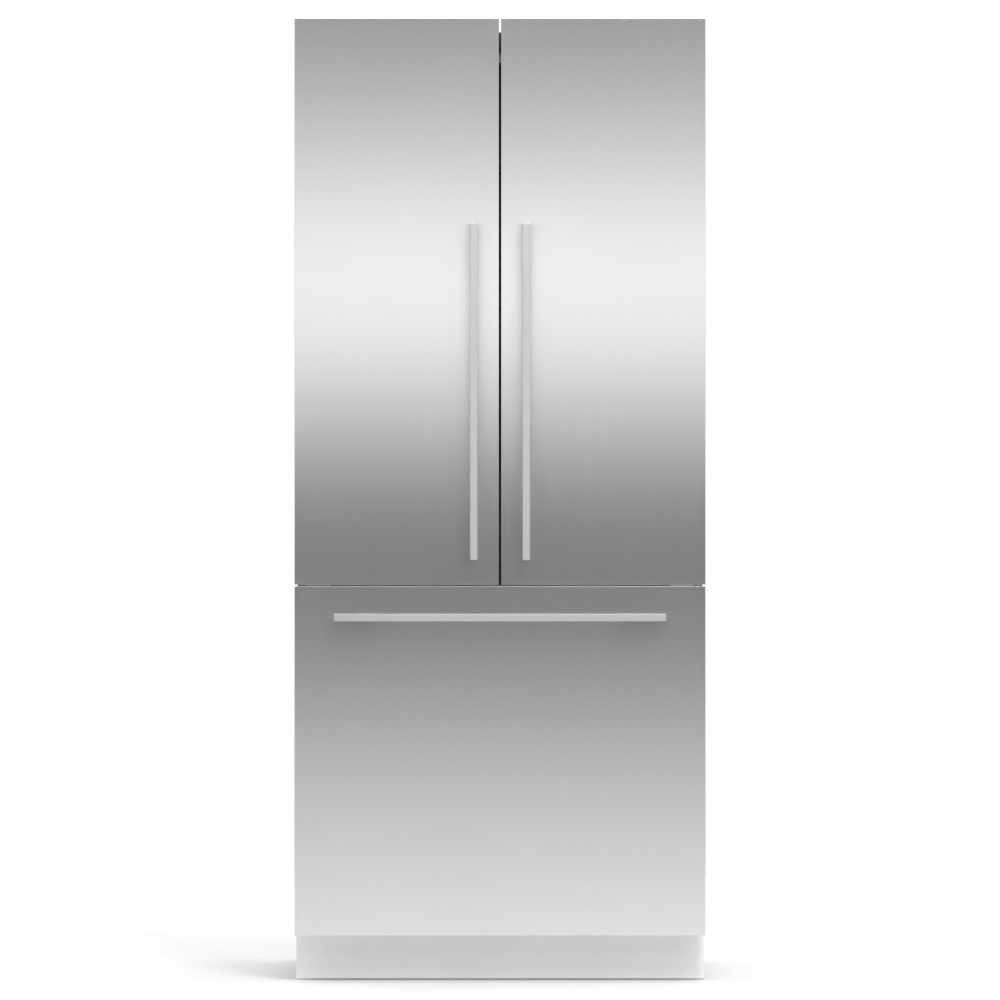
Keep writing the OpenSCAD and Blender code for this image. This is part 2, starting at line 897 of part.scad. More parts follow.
// The drawer's own rails: a bar in the slide, a ledge for the basket and a plate on the front.
module slide_inner() {
    x1 = cavity_half - 2 * (rail_wall + rail_gap);
    x0 = x1 - ledge_t - ledge_w;
    plate_h = 100;
    plate_end = door_t + ledge_t;
    color("silver") both_sides() {
        box(x1 - ledge_t, x1, plate_end, rail_back, rail_z - inner_h / 2, rim_z);
        box(x0, x1, plate_end, rail_back, rim_z - ledge_t, rim_z);
        box(x0, x1, door_t, plate_end, rim_z - plate_h, rim_z);
    }
}

// Side view of the basket, drawn in by its wall and carried past its top.
module basket_outline(in, over) {
    polygon([[basket_front + in, basket_floor + in],
        [hump_front - hump_gap - in, basket_floor + in],
        [hump_front - hump_gap - in, hump_top + hump_gap + in],
        [basket_back - in, hump_top + hump_gap + in],
        [basket_back - in, rim_z + rim_t + over],
        [basket_front + in, rim_z + rim_t + over]]);
}

module freezer_basket() {
    color("whitesmoke") {
        difference() {
            across(-basket_half, basket_half) basket_outline(0, 0);
            across(-basket_half + bin_wall, basket_half - bin_wall)
                basket_outline(bin_wall, eps);
        }
        both_sides()
            box(basket_half - 1, basket_half + rim_out, basket_front, basket_back, rim_z,
                rim_z + rim_t);
    }
}

module freezer_tray() {
    color("aliceblue") {
        open_box(-tray_half, tray_half, tray_front, tray_front + tray_d, tray_rim - tray_h,
            tray_rim + rim_t, bin_wall);
        both_sides()
            box(tray_half - 1, basket_half + tray_rim_out, tray_front,
                tray_front + tray_d, tray_rim, tray_rim + rim_t);
    }
}

// ---- machine compartment ----

// Hermetic pot on a sprung tray, with its terminal cover and its two pipe stubs.
module compressor() {
    body_z = chassis_top + comp_foot_h;
    pot_h = 156;
    foot_r = 9;
    foot_in = [14, 12];
    cover_half = 18;
    cover_z = [50, 95];
    pipe_x = 40;
    pipe_z = [100, 172];
    discharge_r = 4;
    suction_r = 6;
    color("black") {
        translate([comp_x, face_y + comp_depth, body_z])
            rotate_extrude() polygon([[0, 0], [comp_r - 16, 0], [comp_r - 4, 12],
                [comp_r, 30], [comp_r, 110], [comp_r - 8, 134], [comp_r - 28, 150],
                [0, pot_h]]);
        box(comp_x - comp_tray_half[0], comp_x + comp_tray_half[0],
            comp_depth - comp_tray_half[1], comp_depth + comp_tray_half[1], body_z,
            body_z + comp_tray_t);
        for (x = [-1, 1], d = [-1, 1])
            post(foot_r, comp_x + x * (comp_tray_half[0] - foot_in[0]),
                comp_depth + d * (comp_tray_half[1] - foot_in[1]), chassis_top, body_z + 1);
        box(comp_x + comp_r - 10, comp_x + comp_reach, comp_depth - cover_half,
            comp_depth + cover_half, body_z + cover_z[0], body_z + cover_z[1]);
        post(discharge_r, comp_x - pipe_x, comp_depth, body_z + pipe_z[0],
            body_z + pipe_z[1]);
        post(suction_r, comp_x + pipe_x, comp_depth, body_z + pipe_z[0],
            body_z + pipe_z[1]);
    }
}

// Finned coil whose two end plates reach down past the pan to the chassis.
module condenser() {
    condenser_fins = 12;
    tube_r = 4;
    tube_rows = 4;
    front_gap = 25;
    rear_gap = 20;
    over_pan = 10;
    d0 = machine_front + front_gap;
    d1 = body_d - rear_gap;
    z0 = chassis_top + pan_h + over_pan;
    color("dimgray") {
        fin_pack(condenser_x0, condenser_x1, d0, d1, z0, machine_top - rear_gap,
            condenser_fins, tube_r, tube_rows);
        for (x = [condenser_x0 + tube_r, condenser_x1 - tube_r - fin_t])
            box(x, x + fin_t, d0, d1, chassis_top, z0 + 1);
    }
}

// Its children, drawn about Z, turned to blow from the condenser to the compressor.
module at_condenser_fan() {
    translate([fan_x, face_y + fan_c_depth, fan_c_z]) rotate([0, 90, 0]) children();
}

module condenser_shroud() {
    motor_h = 26;
    edge_gap = 12;
    color("dimgray") {
        difference() {
            box(fan_x - shroud_t, fan_x, machine_front + edge_gap, body_d - edge_gap,
                chassis_top, machine_top - edge_gap);
            bar_x(fan_r + fan_gap, fan_x - shroud_t - eps, fan_x + eps, fan_c_depth,
                fan_c_z);
        }
        at_condenser_fan() fan_motor(motor_h);
    }
}

module condenser_fan() {
    color("whitesmoke") at_condenser_fan() translate([0, 0, fan_lift]) impeller();
}

module drain_pan() {
    side_gap = 10;
    edge_gap = 12;
    color("dimgray")
        open_box(condenser_x0 + side_gap, condenser_x1 - side_gap,
            machine_front + edge_gap, body_d - edge_gap, chassis_top,
            chassis_top + pan_h, pan_wall);
}

module control_box() {
    wall = 3;
    x0 = machine_half - control_w;
    d0 = machine_front + 20;
    d1 = body_d - inlet_d;
    z0 = chassis_top + 70;
    z1 = chassis_top + 170;
    color("gray") difference() {
        box(x0, machine_half, d0, d1, z0, z1);
        box(x0 + wall, machine_half - wall, d0 + wall, d1 - wall, z0 - eps, z1 - wall);
    }
}

// Socket with three blades, let into the back.
module power_inlet() {
    wall = 3;
    floor_t = 5;
    blade = [2, 6];
    blade_x = 7;
    blade_back = 4;
    mid_z = inlet_z + inlet_h / 2;
    color("black") difference() {
        box(inlet_x - inlet_w / 2, inlet_x + inlet_w / 2, body_d - inlet_d, body_d, inlet_z,
            inlet_z + inlet_h);
        difference() {
            box(inlet_x - inlet_w / 2 + wall, inlet_x + inlet_w / 2 - wall,
                body_d - inlet_d + floor_t, body_d + eps, inlet_z + wall,
                inlet_z + inlet_h - wall);
            for (x = [-blade_x, 0, blade_x])
                box(inlet_x + x - blade[0] / 2, inlet_x + x + blade[0] / 2,
                    body_d - inlet_d, body_d - blade_back, mid_z - blade[1] / 2,
                    mid_z + blade[1] / 2);
        }
    }
}

// ---- feet and rollers ----

module left_foot() {
    color("black") {
        post(pad_r, -foot_x, foot_depth, 0, pad_h);
        post(stud_r, -foot_x, foot_depth, pad_h - 1, stud_top);
        translate([-foot_x, face_y + foot_depth, nut_z])
            cylinder(r = nut_r, h = nut_h, $fn = 6);
    }
}

module right_foot() {
    mirror([1, 0, 0]) left_foot();
}

module left_roller() {
    color("black") difference() {
        bar_x(roller_r, -foot_x - roller_w / 2, -foot_x + roller_w / 2, roller_depth,
            roller_r);
        bar_x(axle_r + run_gap, -foot_x - roller_w, -foot_x + roller_w, roller_depth,
            roller_r);
    }
}

module right_roller() {
    mirror([1, 0, 0]) left_roller();
}

// ---- doors, drawn as the left one ----

module door_panel() {
    color("silver") folded_front(-half_w, meeting_x, door_bottom, overall_h);
}

module door_core() {
    color("lightgray") difference() {
        union() {
            box(-half_w + sheet_t, meeting_x - sheet_t, sheet_t, panel_t,
                door_bottom + sheet_t, overall_h - sheet_t);
            box(-half_w + core_in_hinge, meeting_x - core_in_meeting, panel_t, core_end,
                core_bottom, core_top);
        }
        post(hinge_pin_r + run_gap, hinge_x, hinge_depth,
            core_top - pin_in_core - pin_end_gap, core_top + eps);
        post(hinge_pin_r + run_gap, hinge_x, hinge_depth, core_bottom - eps,
            core_bottom + pin_in_core + pin_end_gap);
    }
}

module door_liner() {
    color("white") {
        box(-half_w + core_in_hinge, meeting_x - core_in_meeting, core_end, door_t,
            core_bottom, core_top);
        front_ring(ridge_out, ridge_in, door_t - eps, door_t + ridge_h, ridge_bottom,
            ridge_top, ridge_w);
    }
}

// Lug on the door that carries one end of the mullion; its pin runs from pin_z0 to pin_z1.
module mullion_lug(z0, pin_z0, pin_z1) {
    box(mullion_x - lug_r, mullion_x + 3, door_t - eps, mullion_depth, z0, z0 + lug_t);
    post(lug_r, mullion_x, mullion_depth, z0, z0 + lug_t);
    post(mullion_pin_r, mullion_x, mullion_depth, pin_z0, pin_z1);
}

module left_door_liner() {
    low = mullion_bottom - lug_gap - lug_t;
    high = mullion_top + lug_gap;
    door_liner();
    color("white") {
        mullion_lug(low, low + lug_t / 2, mullion_bottom + mullion_pin_len);
        mullion_lug(high, mullion_top - mullion_pin_len, high + lug_t / 2);
    }
}

module door_gasket() {
    color("lightgray")
        front_ring(-cavity_half - gasket_from_edge - gasket_w, meeting_seal_x, door_t,
            door_t + gasket_t, fridge_floor - gasket_from_edge - gasket_w,
            fridge_roof + gasket_from_edge + gasket_w, gasket_w);
}

// Flat bar on two long feet.
module door_handle() {
    z0 = door_bottom + door_handle_lift;
    color("silver") {
        box(-handle_from_middle - bar_w / 2, -handle_from_middle + bar_w / 2, -handle_reach,
            bar_t - handle_reach, z0, z0 + handle_len);
        for (z = [z0, z0 + handle_len - foot_len])
            box(-handle_from_middle - foot_w / 2, -handle_from_middle + foot_w / 2,
                bar_t - handle_reach - eps, 0, z, z + foot_len);
    }
}

module door_bin(z) {
    open_box(bin_x0, bin_x1, door_t, door_t + bin_d, z, z + bin_h, bin_wall);
}

module left_door_bins() {
    ear_z = lid_z - lid_lift - bin_wall;
    color("aliceblue") {
        for (i = [0 : bin_count - 1]) door_bin(bins_from + i * bin_pitch);
        difference() {
            for (x = [bin_x0, bin_x1 - bin_wall])
                box(x, x + bin_wall, door_t, lid_axis_depth + lid_ear, ear_z,
                    lid_z + lid_ear);
            bar_x(lid_pin_r + run_gap, bin_x0 - eps, bin_x1 + eps, lid_axis_depth, lid_z);
        }
    }
}

module dairy_lid() {
    x0 = bin_x0 + bin_wall + lid_side;
    x1 = bin_x1 - bin_wall - lid_side;
    color("aliceblue") {
        box(x0, x1, lid_axis_depth, door_t + bin_d + lid_over, lid_z - lid_t / 2,
            lid_z + lid_t / 2);
        bar_x(lid_barrel_r, x0, x1, lid_axis_depth, lid_z);
        bar_x(lid_pin_r, bin_x0 + lid_pin_in, bin_x1 - lid_pin_in, lid_axis_depth, lid_z);
    }
}

module right_door_bins() {
    color("aliceblue") mirror([1, 0, 0])
        for (i = [0 : bin_count - 1]) door_bin(bins_from + i * bin_pitch);
}

// Drawn as it lies when folded back along the left door's edge.
module mullion() {
    color("gainsboro") difference() {
        union() {
            post(mullion_r, mullion_x, mullion_depth, mullion_bottom, mullion_top);
            box(mullion_x - mullion_r, mullion_x + mullion_r, mullion_depth,
                mullion_depth + mullion_reach, mullion_bottom, mullion_top);
            post(guide_pin_r, mullion_x, mullion_depth + guide_pin_at, mullion_top - 1,
                mullion_top + guide_pin_h);
        }
        post(mullion_pin_r + run_gap, mullion_x, mullion_depth, mullion_bottom - eps,
            mullion_bottom + mullion_pin_len + pin_end_gap);
        post(mullion_pin_r + run_gap, mullion_x, mullion_depth,
            mullion_top - mullion_pin_len - pin_end_gap, mullion_top + eps);
    }
}

// ---- freezer drawer ----

module drawer_panel() {
    color("silver") folded_front(-half_w, half_w, kick_h, drawer_top);
}

module drawer_core() {
    color("lightgray") {
        box(-half_w + sheet_t, half_w - sheet_t, sheet_t, panel_t, kick_h + sheet_t,
            drawer_top - sheet_t);
        box(-half_w + core_in_hinge, half_w - core_in_hinge, panel_t, door_t,
            kick_h + core_in_hinge, drawer_top - core_in_hinge - hinge_clear);
    }
}

module drawer_gasket() {
    out = gasket_from_edge + gasket_w;
    color("lightgray")
        front_ring(-cavity_half - out, cavity_half + out, door_t, door_t + gasket_t,
            freezer_floor - out, freezer_roof + out, gasket_w);
}

module drawer_handle() {
    z = drawer_top - drawer_handle_drop;
    half = drawer_handle_len / 2;
    color("silver") {
        box(-half, half, -handle_reach, bar_t - handle_reach, z - bar_w / 2, z + bar_w / 2);
        for (x = [-half, half - foot_len])
            box(x, x + foot_len, bar_t - handle_reach - eps, 0, z - foot_w / 2,
                z + foot_w / 2);
    }
}

// ---- crispers ----

module left_crisper() {
    color("aliceblue") {
        open_box(-cavity_half + crisper_side_gap, -crisper_mid_gap, crisper_front,
            crisper_back, fridge_floor + runner_h, crisper_top, bin_wall);
        box(-cavity_half + crisper_side_gap, -crisper_mid_gap, crisper_front - grip_t,
            crisper_front + 1, crisper_top - grip_h, crisper_top);
    }
}

module right_crisper() {
    mirror([1, 0, 0]) left_crisper();
}

// ---- one line for each node ----

side_panels();
top_panel();
back_panel();
rear_grille();
cabinet_foam();
fridge_liner();
freezer_liner();
face_frame();
base_chassis();
toe_kick();
anti_tip_bracket();
upper_hinges();
center_hinges();
hinge_screws();
shelf_ladders();
shelf_frames();
shelf_glass();
air_duct();
light_bars();
control_panel();
mullion_guide();
freezer_duct();
evaporator();
compressor();
condenser();
condenser_shroud();
drain_pan();
control_box();
power_inlet();
slide_outer();
door_panel();  // left_door_panel
door_core();  // left_door_core
left_door_liner();
door_gasket();  // left_door_gasket
door_handle();  // left_handle
left_door_bins();
mirror([1, 0, 0]) door_panel();  // right_door_panel
mirror([1, 0, 0]) door_core();  // right_door_core
mirror([1, 0, 0]) door_liner();  // right_door_liner
mirror([1, 0, 0]) door_gasket();  // right_door_gasket
mirror([1, 0, 0]) door_handle();  // right_handle
right_door_bins();
mullion();
dairy_lid();
drawer_panel();
drawer_core();
drawer_gasket();
drawer_handle();
freezer_basket();
slide_inner();
slide_middle();
freezer_tray();
left_crisper();
right_crisper();
evaporator_fan();
condenser_fan();
left_foot();
right_foot();
left_roller();
right_roller();
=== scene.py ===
import math
from typing import NamedTuple

import bmesh
import bpy
from bpy.props import FloatProperty, FloatVectorProperty, IntProperty, PointerProperty
from mathutils import Matrix, Vector


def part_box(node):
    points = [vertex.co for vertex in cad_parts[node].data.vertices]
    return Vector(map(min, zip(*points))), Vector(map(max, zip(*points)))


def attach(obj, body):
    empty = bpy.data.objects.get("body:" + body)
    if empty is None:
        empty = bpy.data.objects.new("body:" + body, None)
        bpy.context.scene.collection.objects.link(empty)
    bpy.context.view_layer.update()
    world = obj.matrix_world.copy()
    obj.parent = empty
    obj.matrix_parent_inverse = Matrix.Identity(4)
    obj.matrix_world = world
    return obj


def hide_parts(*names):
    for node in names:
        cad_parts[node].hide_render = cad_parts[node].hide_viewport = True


bl_info = {
    "name": "French Door Refrigerator",
    "version": (1, 0, 0),
    "blender": (4, 5, 0),
    "location": "View3D > Sidebar > Refrigerator",
    "description": "Builds the visible pieces of a french door refrigerator round its CAD frame",
    "category": "Object",
}

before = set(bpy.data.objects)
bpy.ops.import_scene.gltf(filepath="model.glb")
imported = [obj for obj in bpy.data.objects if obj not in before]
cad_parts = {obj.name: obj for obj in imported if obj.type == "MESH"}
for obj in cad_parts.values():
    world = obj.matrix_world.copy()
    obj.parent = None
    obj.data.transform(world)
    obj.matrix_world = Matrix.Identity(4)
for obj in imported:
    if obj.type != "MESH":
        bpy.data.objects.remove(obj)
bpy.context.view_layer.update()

X, Y, Z = 0, 1, 2
AXES = (Vector((1, 0, 0)), Vector((0, 1, 0)), Vector((0, 0, 1)))
FLAT = 0.9  # how far a face's normal lies along an axis before it counts as facing that way
SHARP = math.radians(35)
UPRIGHT = Matrix.Rotation(math.radians(90), 4, "X")  # stands a flat grid up, facing the front


def span(node):
    """Lowest and highest corner of a CAD node at rest."""
    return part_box(node)


# ---- sizes that the frame's boxes don't give, in metres ----

FRONT = span("left_door_panel")[0].y  # outer face of the doors
SHEET_T = 0.0012  # steel of the fronts
LINER_WALL = 0.002
BIN_WALL = 0.003
SKIN_T = 0.003  # inner skin of a door
RIDGE_W = 0.014  # ridge round a door's bins
SEAL_W = 0.014
BAR_T = 0.012  # handle bars, front to back
FOOT_LEN = 0.100  # handle feet, along the bar
FOOT_W = 0.010
GLASS_T = 0.004
HUMP_DEPTH, HUMP_RISE = 0.380, 0.040  # freezer liner's step: behind FRONT, over the back panel's foot
STEP_DEPTH, STEP_RISE = 0.370, 0.050  # the basket's step over it
OVERLAP = 0.001  # how far a joined part reaches into its neighbour
FOLD_EDGE = 0.0008  # rounding of small moulded and folded parts
MOULD_EDGE = 0.0012
FLAP_PIN_H = 0.014  # pin on the flap's top end, above its body
SIDES = (("left", 1), ("right", -1))  # each door's name, and where it is along X


# ---- mesh helpers ----


def faces_of(verts):
    """Every face that touches one of the vertices."""
    return {f for v in verts for f in v.link_faces}


def edges_of(verts):
    """Every edge that touches one of the vertices."""
    return {e for v in verts for e in v.link_edges}


def facing(faces, way):
    """The faces that look along a unit vector."""
    return [f for f in faces if f.normal.dot(way) > FLAT]


def runs_along(edge, axis):
    """Whether an edge runs along an axis."""
    way = edge.verts[1].co - edge.verts[0].co
    return way.length > 1e-6 and abs(way.normalized()[axis]) > 0.999


def round_edges(bm, edges, radius, segments=3):
    """Rounds some edges of a bmesh."""
    bmesh.ops.bevel(
        bm,
        geom=list(edges),
        offset=radius,
        offset_type="OFFSET",
        affect="EDGES",
        segments=segments,
        profile=0.5,
        material=-1,
        clamp_overlap=True,
    )


def inset(bm, face, thickness, depth=0.0):
    """Insets one face by a width, and moves what is left of it in or out."""
    return bmesh.ops.inset_region(
        bm, faces=[face], thickness=thickness, depth=depth, use_even_offset=True
    )["faces"]


def add_box(bm, lo, hi, radius=0.0, segments=2):
    """A box between two corners, with all its edges rounded."""
    lo, hi = Vector(lo), Vector(hi)
    place = Matrix.Translation((lo + hi) / 2) @ Matrix.Diagonal((*(hi - lo), 1.0))
    verts = bmesh.ops.create_cube(bm, size=1.0, matrix=place)["verts"]
    if radius:
        round_edges(bm, edges_of(verts), radius, segments)
    return verts


def add_pair(bm, x_in, x_out, lo_yz, hi_yz, radius=0.0):
    """The same box on both sides of the middle, from x_in out to x_out."""
    for side in (-1, 1):
        x0, x1 = sorted((side * x_in, side * x_out))
        add_box(bm, (x0, *lo_yz), (x1, *hi_yz), radius)


def add_rod(bm, start, end, radius, segments=24):
    """A round rod between two points."""
    start, end = Vector(start), Vector(end)
    way = end - start
    turn = way.to_track_quat("Z", "Y").to_matrix().to_4x4()
    return bmesh.ops.create_cone(
        bm,
        cap_ends=True,
        cap_tris=False,
        segments=segments,
        radius1=radius,
        radius2=radius,
        depth=way.length,
        matrix=Matrix.Translation((start + end) / 2) @ turn,
    )["verts"]


def open_side(bm, verts, way):
    """Takes away the outermost face that looks along a unit vector."""
    reach = max(v.co.dot(way) for v in verts)
    level = facing(faces_of(verts), way)
    mouth = [f for f in level if abs(f.calc_center_median().dot(way) - reach) < 1e-4]
    bmesh.ops.delete(bm, geom=mouth, context="FACES")


def folds(edges):
    """The edges where two faces meet."""
    return [e for e in edges if len(e.link_faces) == 2]


def add_tub(bm, lo, hi, corner, way, segments=5):
    """A box whose side along a unit vector is open, its other edges rounded."""
    verts = add_box(bm, lo, hi)
    open_side(bm, verts, way)
    round_edges(bm, folds(edges_of(verts)), corner, segments)


def push_out(bm, faces, way):
    """Extrudes faces along a vector, and gives the new vertices."""
    made = bmesh.ops.extrude_face_region(bm, geom=faces)["geom"]
    new = [g for g in made if isinstance(g, bmesh.types.BMVert)]
    bmesh.ops.translate(bm, verts=new, vec=way)
    return new


def add_outline(bm, points, x0, x1):
    """A flat outline of (y, z) points at x0, pushed to x1."""
    verts = [bm.verts.new((x0, y, z)) for y, z in points]
    verts += push_out(bm, [bm.faces.new(verts)], (x1 - x0, 0, 0))
    bmesh.ops.recalc_face_normals(bm, faces=list(faces_of(verts)))
    return verts


def add_stepped_tub(bm, points, x0, x1, corner, way):
    """Fills an empty bmesh with an outline pushed from x0 to x1, open along a unit vector."""
    open_side(bm, add_outline(bm, points, x0, x1), way)
    round_edges(bm, folds(bm.edges), corner, 5)


def add_ring(bm, lo, hi, width, axis, corner=0.0, groove=0.0):
    """A closed rectangular ring about Y or Z, with rounded corners and a groove on its far side."""
    lo, hi = Vector(lo), Vector(hi)
    size = hi - lo
    mid = (lo + hi) / 2
    mid[axis] = lo[axis]
    turn = Matrix.Identity(4) if axis == Z else UPRIGHT
    flat = (size.x, size.z if axis == Y else size.y, 1.0, 1.0)
    place = Matrix.Translation(mid) @ turn @ Matrix.Diagonal(flat)
    verts = bmesh.ops.create_grid(bm, x_segments=1, y_segments=1, size=0.5, matrix=place)["verts"]
    middle = next(iter(verts[0].link_faces))
    rim = bmesh.ops.inset_region(
        bm, faces=[middle], thickness=width, use_even_offset=True, use_boundary=True
    )["faces"]
    bmesh.ops.delete(bm, geom=[middle], context="FACES")
    new = push_out(bm, rim, AXES[axis] * size[axis])
    verts = {v for f in rim for v in f.verts} | set(new)
    bmesh.ops.recalc_face_normals(bm, faces=list(faces_of(verts)))
    if groove:
        cut_groove(bm, new, width * 0.28, axis, groove)
    if corner:
        posts = [e for e in edges_of(v for v in verts if v.is_valid) if runs_along(e, axis)]
        round_edges(bm, [e for e in posts if on_corner(e, lo, hi, axis)], corner, 5)


def cut_groove(bm, verts, shoulder, axis, depth):
    """Sinks the middle of a ring's far faces, inside a shoulder on both sides."""
    far = facing(faces_of(verts), AXES[axis])
    bmesh.ops.inset_region(bm, faces=far, thickness=shoulder, depth=0.0, use_even_offset=True)
    bmesh.ops.translate(bm, verts=list({v for f in far for v in f.verts}), vec=AXES[axis] * -depth)


def on_corner(edge, lo, hi, axis):
    """Whether an edge along an axis stands at an outer corner of a box."""
    point = edge.verts[0].co
    others = [i for i in (X, Y, Z) if i != axis]
    return all(min(abs(point[i] - lo[i]), abs(point[i] - hi[i])) < 1e-5 for i in others)


def mirrored(bm):
    """Mirrors the whole bmesh across the middle of the object."""
    bmesh.ops.scale(bm, verts=bm.verts, vec=(-1, 1, 1))
    bmesh.ops.reverse_faces(bm, faces=bm.faces)


def new_object(name, data):
    """A new object in the scene."""
    obj = bpy.data.objects.new(name, data)
    bpy.context.scene.collection.objects.link(obj)
    return obj


def mesh_object(name, bm, material):
    """Turns a bmesh into an object with one material."""
    mesh = bpy.data.meshes.new(name)
    bm.to_mesh(mesh)
    bm.free()
    mesh.materials.append(material)
    return new_object(name, mesh)


def finish_piece(name, bm, body, finish, nodes=(), wall=0.0, edge=0.0, side=-1.0, slot=None):
    """Turns a bmesh into a piece on a body.

    wall is a shell's thickness, laid on its inner side (-1) or its outer side (1). edge rounds
    what is sharp. slot is not used.
    """
    bm.normal_update()
    obj = mesh_object(name, bm, made_finishes[finish])
    obj.data.shade_smooth()
    obj.data.set_sharp_from_angle(angle=SHARP)
    if wall:
        shell = obj.modifiers.new("Wall", "SOLIDIFY")
        shell.thickness = wall
        shell.offset = side
        shell.use_even_offset = True
    if edge:
        soft = obj.modifiers.new("Edges", "BEVEL")
        soft.width = edge
        soft.segments = 2
        soft.limit_method = "ANGLE"
        soft.angle_limit = SHARP
        soft.use_clamp_overlap = True
    flat = obj.modifiers.new("Flat faces", "WEIGHTED_NORMAL")
    flat.keep_sharp = True
    flat.weight = 100
    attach(obj, body)
    if nodes:
        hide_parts(*nodes)


# ---- finishes ----

# How far a grain is stretched: its share of the features along X, Y and Z.
EVEN = (1.0, 1.0, 1.0)
VERTICAL = (1.0, 1.0, 0.012)
ACROSS = (0.012, 1.0, 1.0)
HANDLE_ROUGHNESS = 0.40
made_finishes = {}


class Finish(NamedTuple):
    """A plain surface. grain is in features per metre; tint, wear and bump say how far the
    grain varies the colour, the roughness and the surface. sockets are the shader's own."""

    colour: tuple
    roughness: float
    grain: float
    tint: float
    wear: float
    bump: float
    metal: float = 0.0
    stretch: tuple = EVEN
    sockets: dict = {}


PLAIN_FINISHES = {
    "kick_steel": Finish((0.88, 0.885, 0.89), 0.42, 900, 0.03, 0.08, 0.05),
    # near-black face frame: dark paint, and also painted shade so the gaps between the fronts read black
    "frame_black_gap_shade": Finish((0.012, 0.012, 0.013), 0.60, 1200, 0.20, 0.12, 0.15),
    "cabinet_grey": Finish((0.50, 0.51, 0.52), 0.45, 1300, 0.04, 0.10, 0.20),
    "zinc_hardware": Finish((0.66, 0.67, 0.68), 0.32, 700, 0.12, 0.16, 0.10, metal=1.0),
    "insulating_foam": Finish((0.78, 0.68, 0.42), 0.85, 420, 0.22, 0.10, 0.60),
    "liner_white": Finish((0.83, 0.84, 0.85), 0.26, 260, 0.03, 0.10, 0.10),
    "door_core_skin": Finish((0.55, 0.56, 0.57), 0.50, 800, 0.06, 0.12, 0.12),
    "gasket_grey": Finish((0.34, 0.35, 0.36), 0.62, 1500, 0.10, 0.14, 0.20),
    "shelf_trim": Finish((0.78, 0.79, 0.80), 0.30, 600, 0.04, 0.10, 0.06),
    "basket_plastic": Finish((0.80, 0.81, 0.82), 0.36, 900, 0.04, 0.12, 0.10),
    "fin_aluminium": Finish(
        (0.78, 0.79, 0.80), 0.34, 500, 0.14, 0.16, 0.08, metal=1.0, stretch=(1, 1, 0.05)
    ),
    "compressor_black": Finish((0.018, 0.018, 0.020), 0.34, 700, 0.30, 0.16, 0.18),
    "black_plastic": Finish((0.030, 0.030, 0.032), 0.46, 1600, 0.25, 0.14, 0.22),
    "condenser_black": Finish((0.035, 0.035, 0.037), 0.42, 800, 0.30, 0.16, 0.14),
    "fan_plastic": Finish((0.20, 0.21, 0.22), 0.40, 900, 0.10, 0.12, 0.10),
    "roller_nylon": Finish((0.70, 0.69, 0.64), 0.38, 800, 0.08, 0.12, 0.10),
    "panel_window": Finish((0.012, 0.012, 0.014), 0.10, 300, 0.10, 0.05, 0.01),
    "clear_bin": Finish(
        (0.90, 0.95, 0.96), 0.10, 900, 0.02, 0.08, 0.04,
        sockets={"Transmission Weight": 0.88, "IOR": 1.49},
    ),
    "shelf_glass": Finish(
        (0.80, 0.92, 0.88), 0.03, 200, 0.02, 0.04, 0.01,
        sockets={"Transmission Weight": 0.95, "IOR": 1.52},
    ),
    "light_lens": Finish(
        (0.92, 0.93, 0.90), 0.30, 700, 0.02, 0.08, 0.05,
        sockets={"Emission Color": (1.0, 0.97, 0.90, 1.0), "Emission Strength": 0.05},
    ),
}

# The CAD nodes whose own meshes wear each finish.
FINISH_NODES = {
    "galvanised_steel": "top_panel back_panel rear_grille base_chassis anti_tip_bracket",
    "cabinet_grey": "side_panels",
    # the face frame wears the near-black finish that also paints shade into the gaps
    "frame_black_gap_shade": "face_frame",
    "kick_steel": "toe_kick",
    "insulating_foam": "cabinet_foam",
    "liner_white": (
        "fridge_liner freezer_liner air_duct freezer_duct left_door_liner right_door_liner"
    ),
    "zinc_hardware": (
        "upper_hinges center_hinges hinge_screws shelf_ladders slide_outer slide_middle slide_inner"
    ),
    "shelf_trim": "shelf_frames control_panel mullion_guide mullion",
    "shelf_glass": "shelf_glass",
    "light_lens": "light_bars",
    "fin_aluminium": "evaporator",
    "compressor_black": "compressor",
    "condenser_black": "condenser",
    "fan_plastic": "condenser_shroud evaporator_fan condenser_fan",
    "black_plastic": "drain_pan control_box power_inlet left_foot right_foot",
    "roller_nylon": "left_roller right_roller",
    "brushed_stainless": "left_door_panel right_door_panel drawer_panel",
    "handle_stainless": "left_handle right_handle drawer_handle",
    "door_core_skin": "left_door_core right_door_core drawer_core",
    "gasket_grey": "left_door_gasket right_door_gasket drawer_gasket",
    "basket_plastic": "freezer_basket",
    "clear_bin": (
        "left_door_bins right_door_bins dairy_lid freezer_tray left_crisper right_crisper"
    ),
}


class NodeTree:
    """A short way to add and join shader nodes."""

    def __init__(self, tree):
        self.tree = tree

    def add(self, kind, inputs=None, **settings):
        """A new node, with some of its settings and of its inputs' values."""
        node = self.tree.nodes.new(kind)
        for key, value in settings.items():
            setattr(node, key, value)
        for key, value in (inputs or {}).items():
            node.inputs[key].default_value = value
        return node

    def join(self, start, end):
        """Joins an output to an input."""
        self.tree.links.new(start, end)

    def steps(self, ramp, steps):
        """Gives a new colour ramp its steps, lowest first: places from 0 to 1 and colours."""
        elements = ramp.color_ramp.elements
        elements.remove(elements[1])
        for i, (place, colour) in enumerate(steps):
            element = elements.new(place) if i else elements[0]
            element.position = place
            element.color = (*colour, 1.0)


